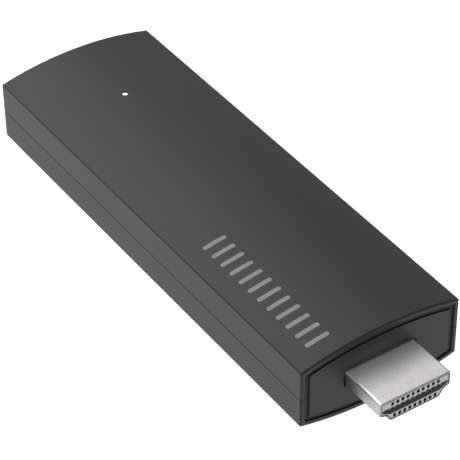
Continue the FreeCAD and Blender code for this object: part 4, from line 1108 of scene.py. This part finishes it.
def floor():
    mesh = bmesh.new()
    bmesh.ops.create_grid(mesh, x_segments=1, y_segments=1, size=FLOOR_REACH * MM)
    sheet = as_object("floor", mesh)
    sheet.data.materials.append(studio_white("pale floor"))


def backdrop():
    """Round wall and ceiling over the floor, for low views. It is only seen, and lights nothing."""
    rings = [turned_ring(0, 0, z, BACKDROP_REACH) for z in (-OVERRUN, BACKDROP_REACH)]
    room = lofted("backdrop", rings)
    paper = studio_white("pale backdrop")
    paper.cycles.emission_sampling = "NONE"
    room.data.materials.append(paper)
    room.visible_diffuse = False
    room.visible_glossy = False
    room.visible_transmission = False
    room.visible_shadow = False


def stand(thing, place, right, up, back):
    """Put a light or the camera at a place in millimetres, turned to three directions."""
    turn = Matrix((right, up, back)).transposed().to_4x4()
    thing.matrix_world = Matrix.Translation(Vector(place) * MM) @ turn


def softbox(name, place, side, power):
    """Square soft light that looks at the middle of the stick."""
    data = bpy.data.lights.new(name, "AREA")
    data.shape = "SQUARE"
    data.size = side * MM
    data.energy = power
    light = bpy.data.objects.new(name, data)
    bpy.context.scene.collection.objects.link(light)
    back = (Vector(place) - Vector((0, 0, MIDDLE))).normalized()
    right = Vector((0, 0, 1)).cross(back).normalized()
    stand(light, place, right, back.cross(right), back)


def sky():
    """Pale room, dimmer on the plug's side of it."""
    world = bpy.data.worlds.new("studio")
    room = Graph(world)
    direction = room.node("ShaderNodeTexCoord", output="Generated")
    glow = room.node("ShaderNodeMapRange", None, {
        "Value": room.parts(direction)[0],
        "From Min": -0.2, "From Max": 0.6, "To Min": SKY_GLOW, "To Max": SKY_DIM,
    })
    backing = room.nodes["Background"]
    room.connect(backing.inputs["Strength"], glow)
    room.connect(backing.inputs["Color"], grey(1.0))
    return world


def lights():
    softbox("overhead softbox", OVERHEAD_PLACE, OVERHEAD_SIZE, OVERHEAD_POWER)
    softbox("key softbox", KEY_PLACE, KEY_SIZE, KEY_POWER)
    bpy.context.scene.world = sky()
    bpy.context.scene.view_settings.view_transform = "Standard"


def camera():
    """The photograph's camera: its place and the turn of its frame."""
    yaw, pitch, roll = (math.radians(turn) for turn in CAMERA_TURNS)
    level = Vector((math.cos(yaw), math.sin(yaw), 0))
    away = Vector((math.sin(yaw), -math.cos(yaw), 0))
    back = away * math.cos(pitch) + Vector((0, 0, math.sin(pitch)))
    upright = back.cross(level)
    right = level * math.cos(roll) + upright * math.sin(roll)
    up = upright * math.cos(roll) - level * math.sin(roll)
    data = bpy.data.cameras.new("camera")
    data.sensor_width = SENSOR
    data.sensor_fit = "HORIZONTAL"
    data.lens = CAMERA_LENS
    data.clip_start = 0.01
    data.clip_end = 20.0
    eye = bpy.data.objects.new("camera", data)
    bpy.context.scene.collection.objects.link(eye)
    stand(eye, CAMERA_PLACE, right, up, back)
    bpy.context.scene.camera = eye


camera()
floor()
backdrop()
lights()
covers(case_plastic())
bezel(bezel_plastic())
plug(plug_nickel())
power_socket(socket_metal())
light_guide(lens_plastic())
side_button(button_plastic())
top_print(print_ink())
finish_nodes()
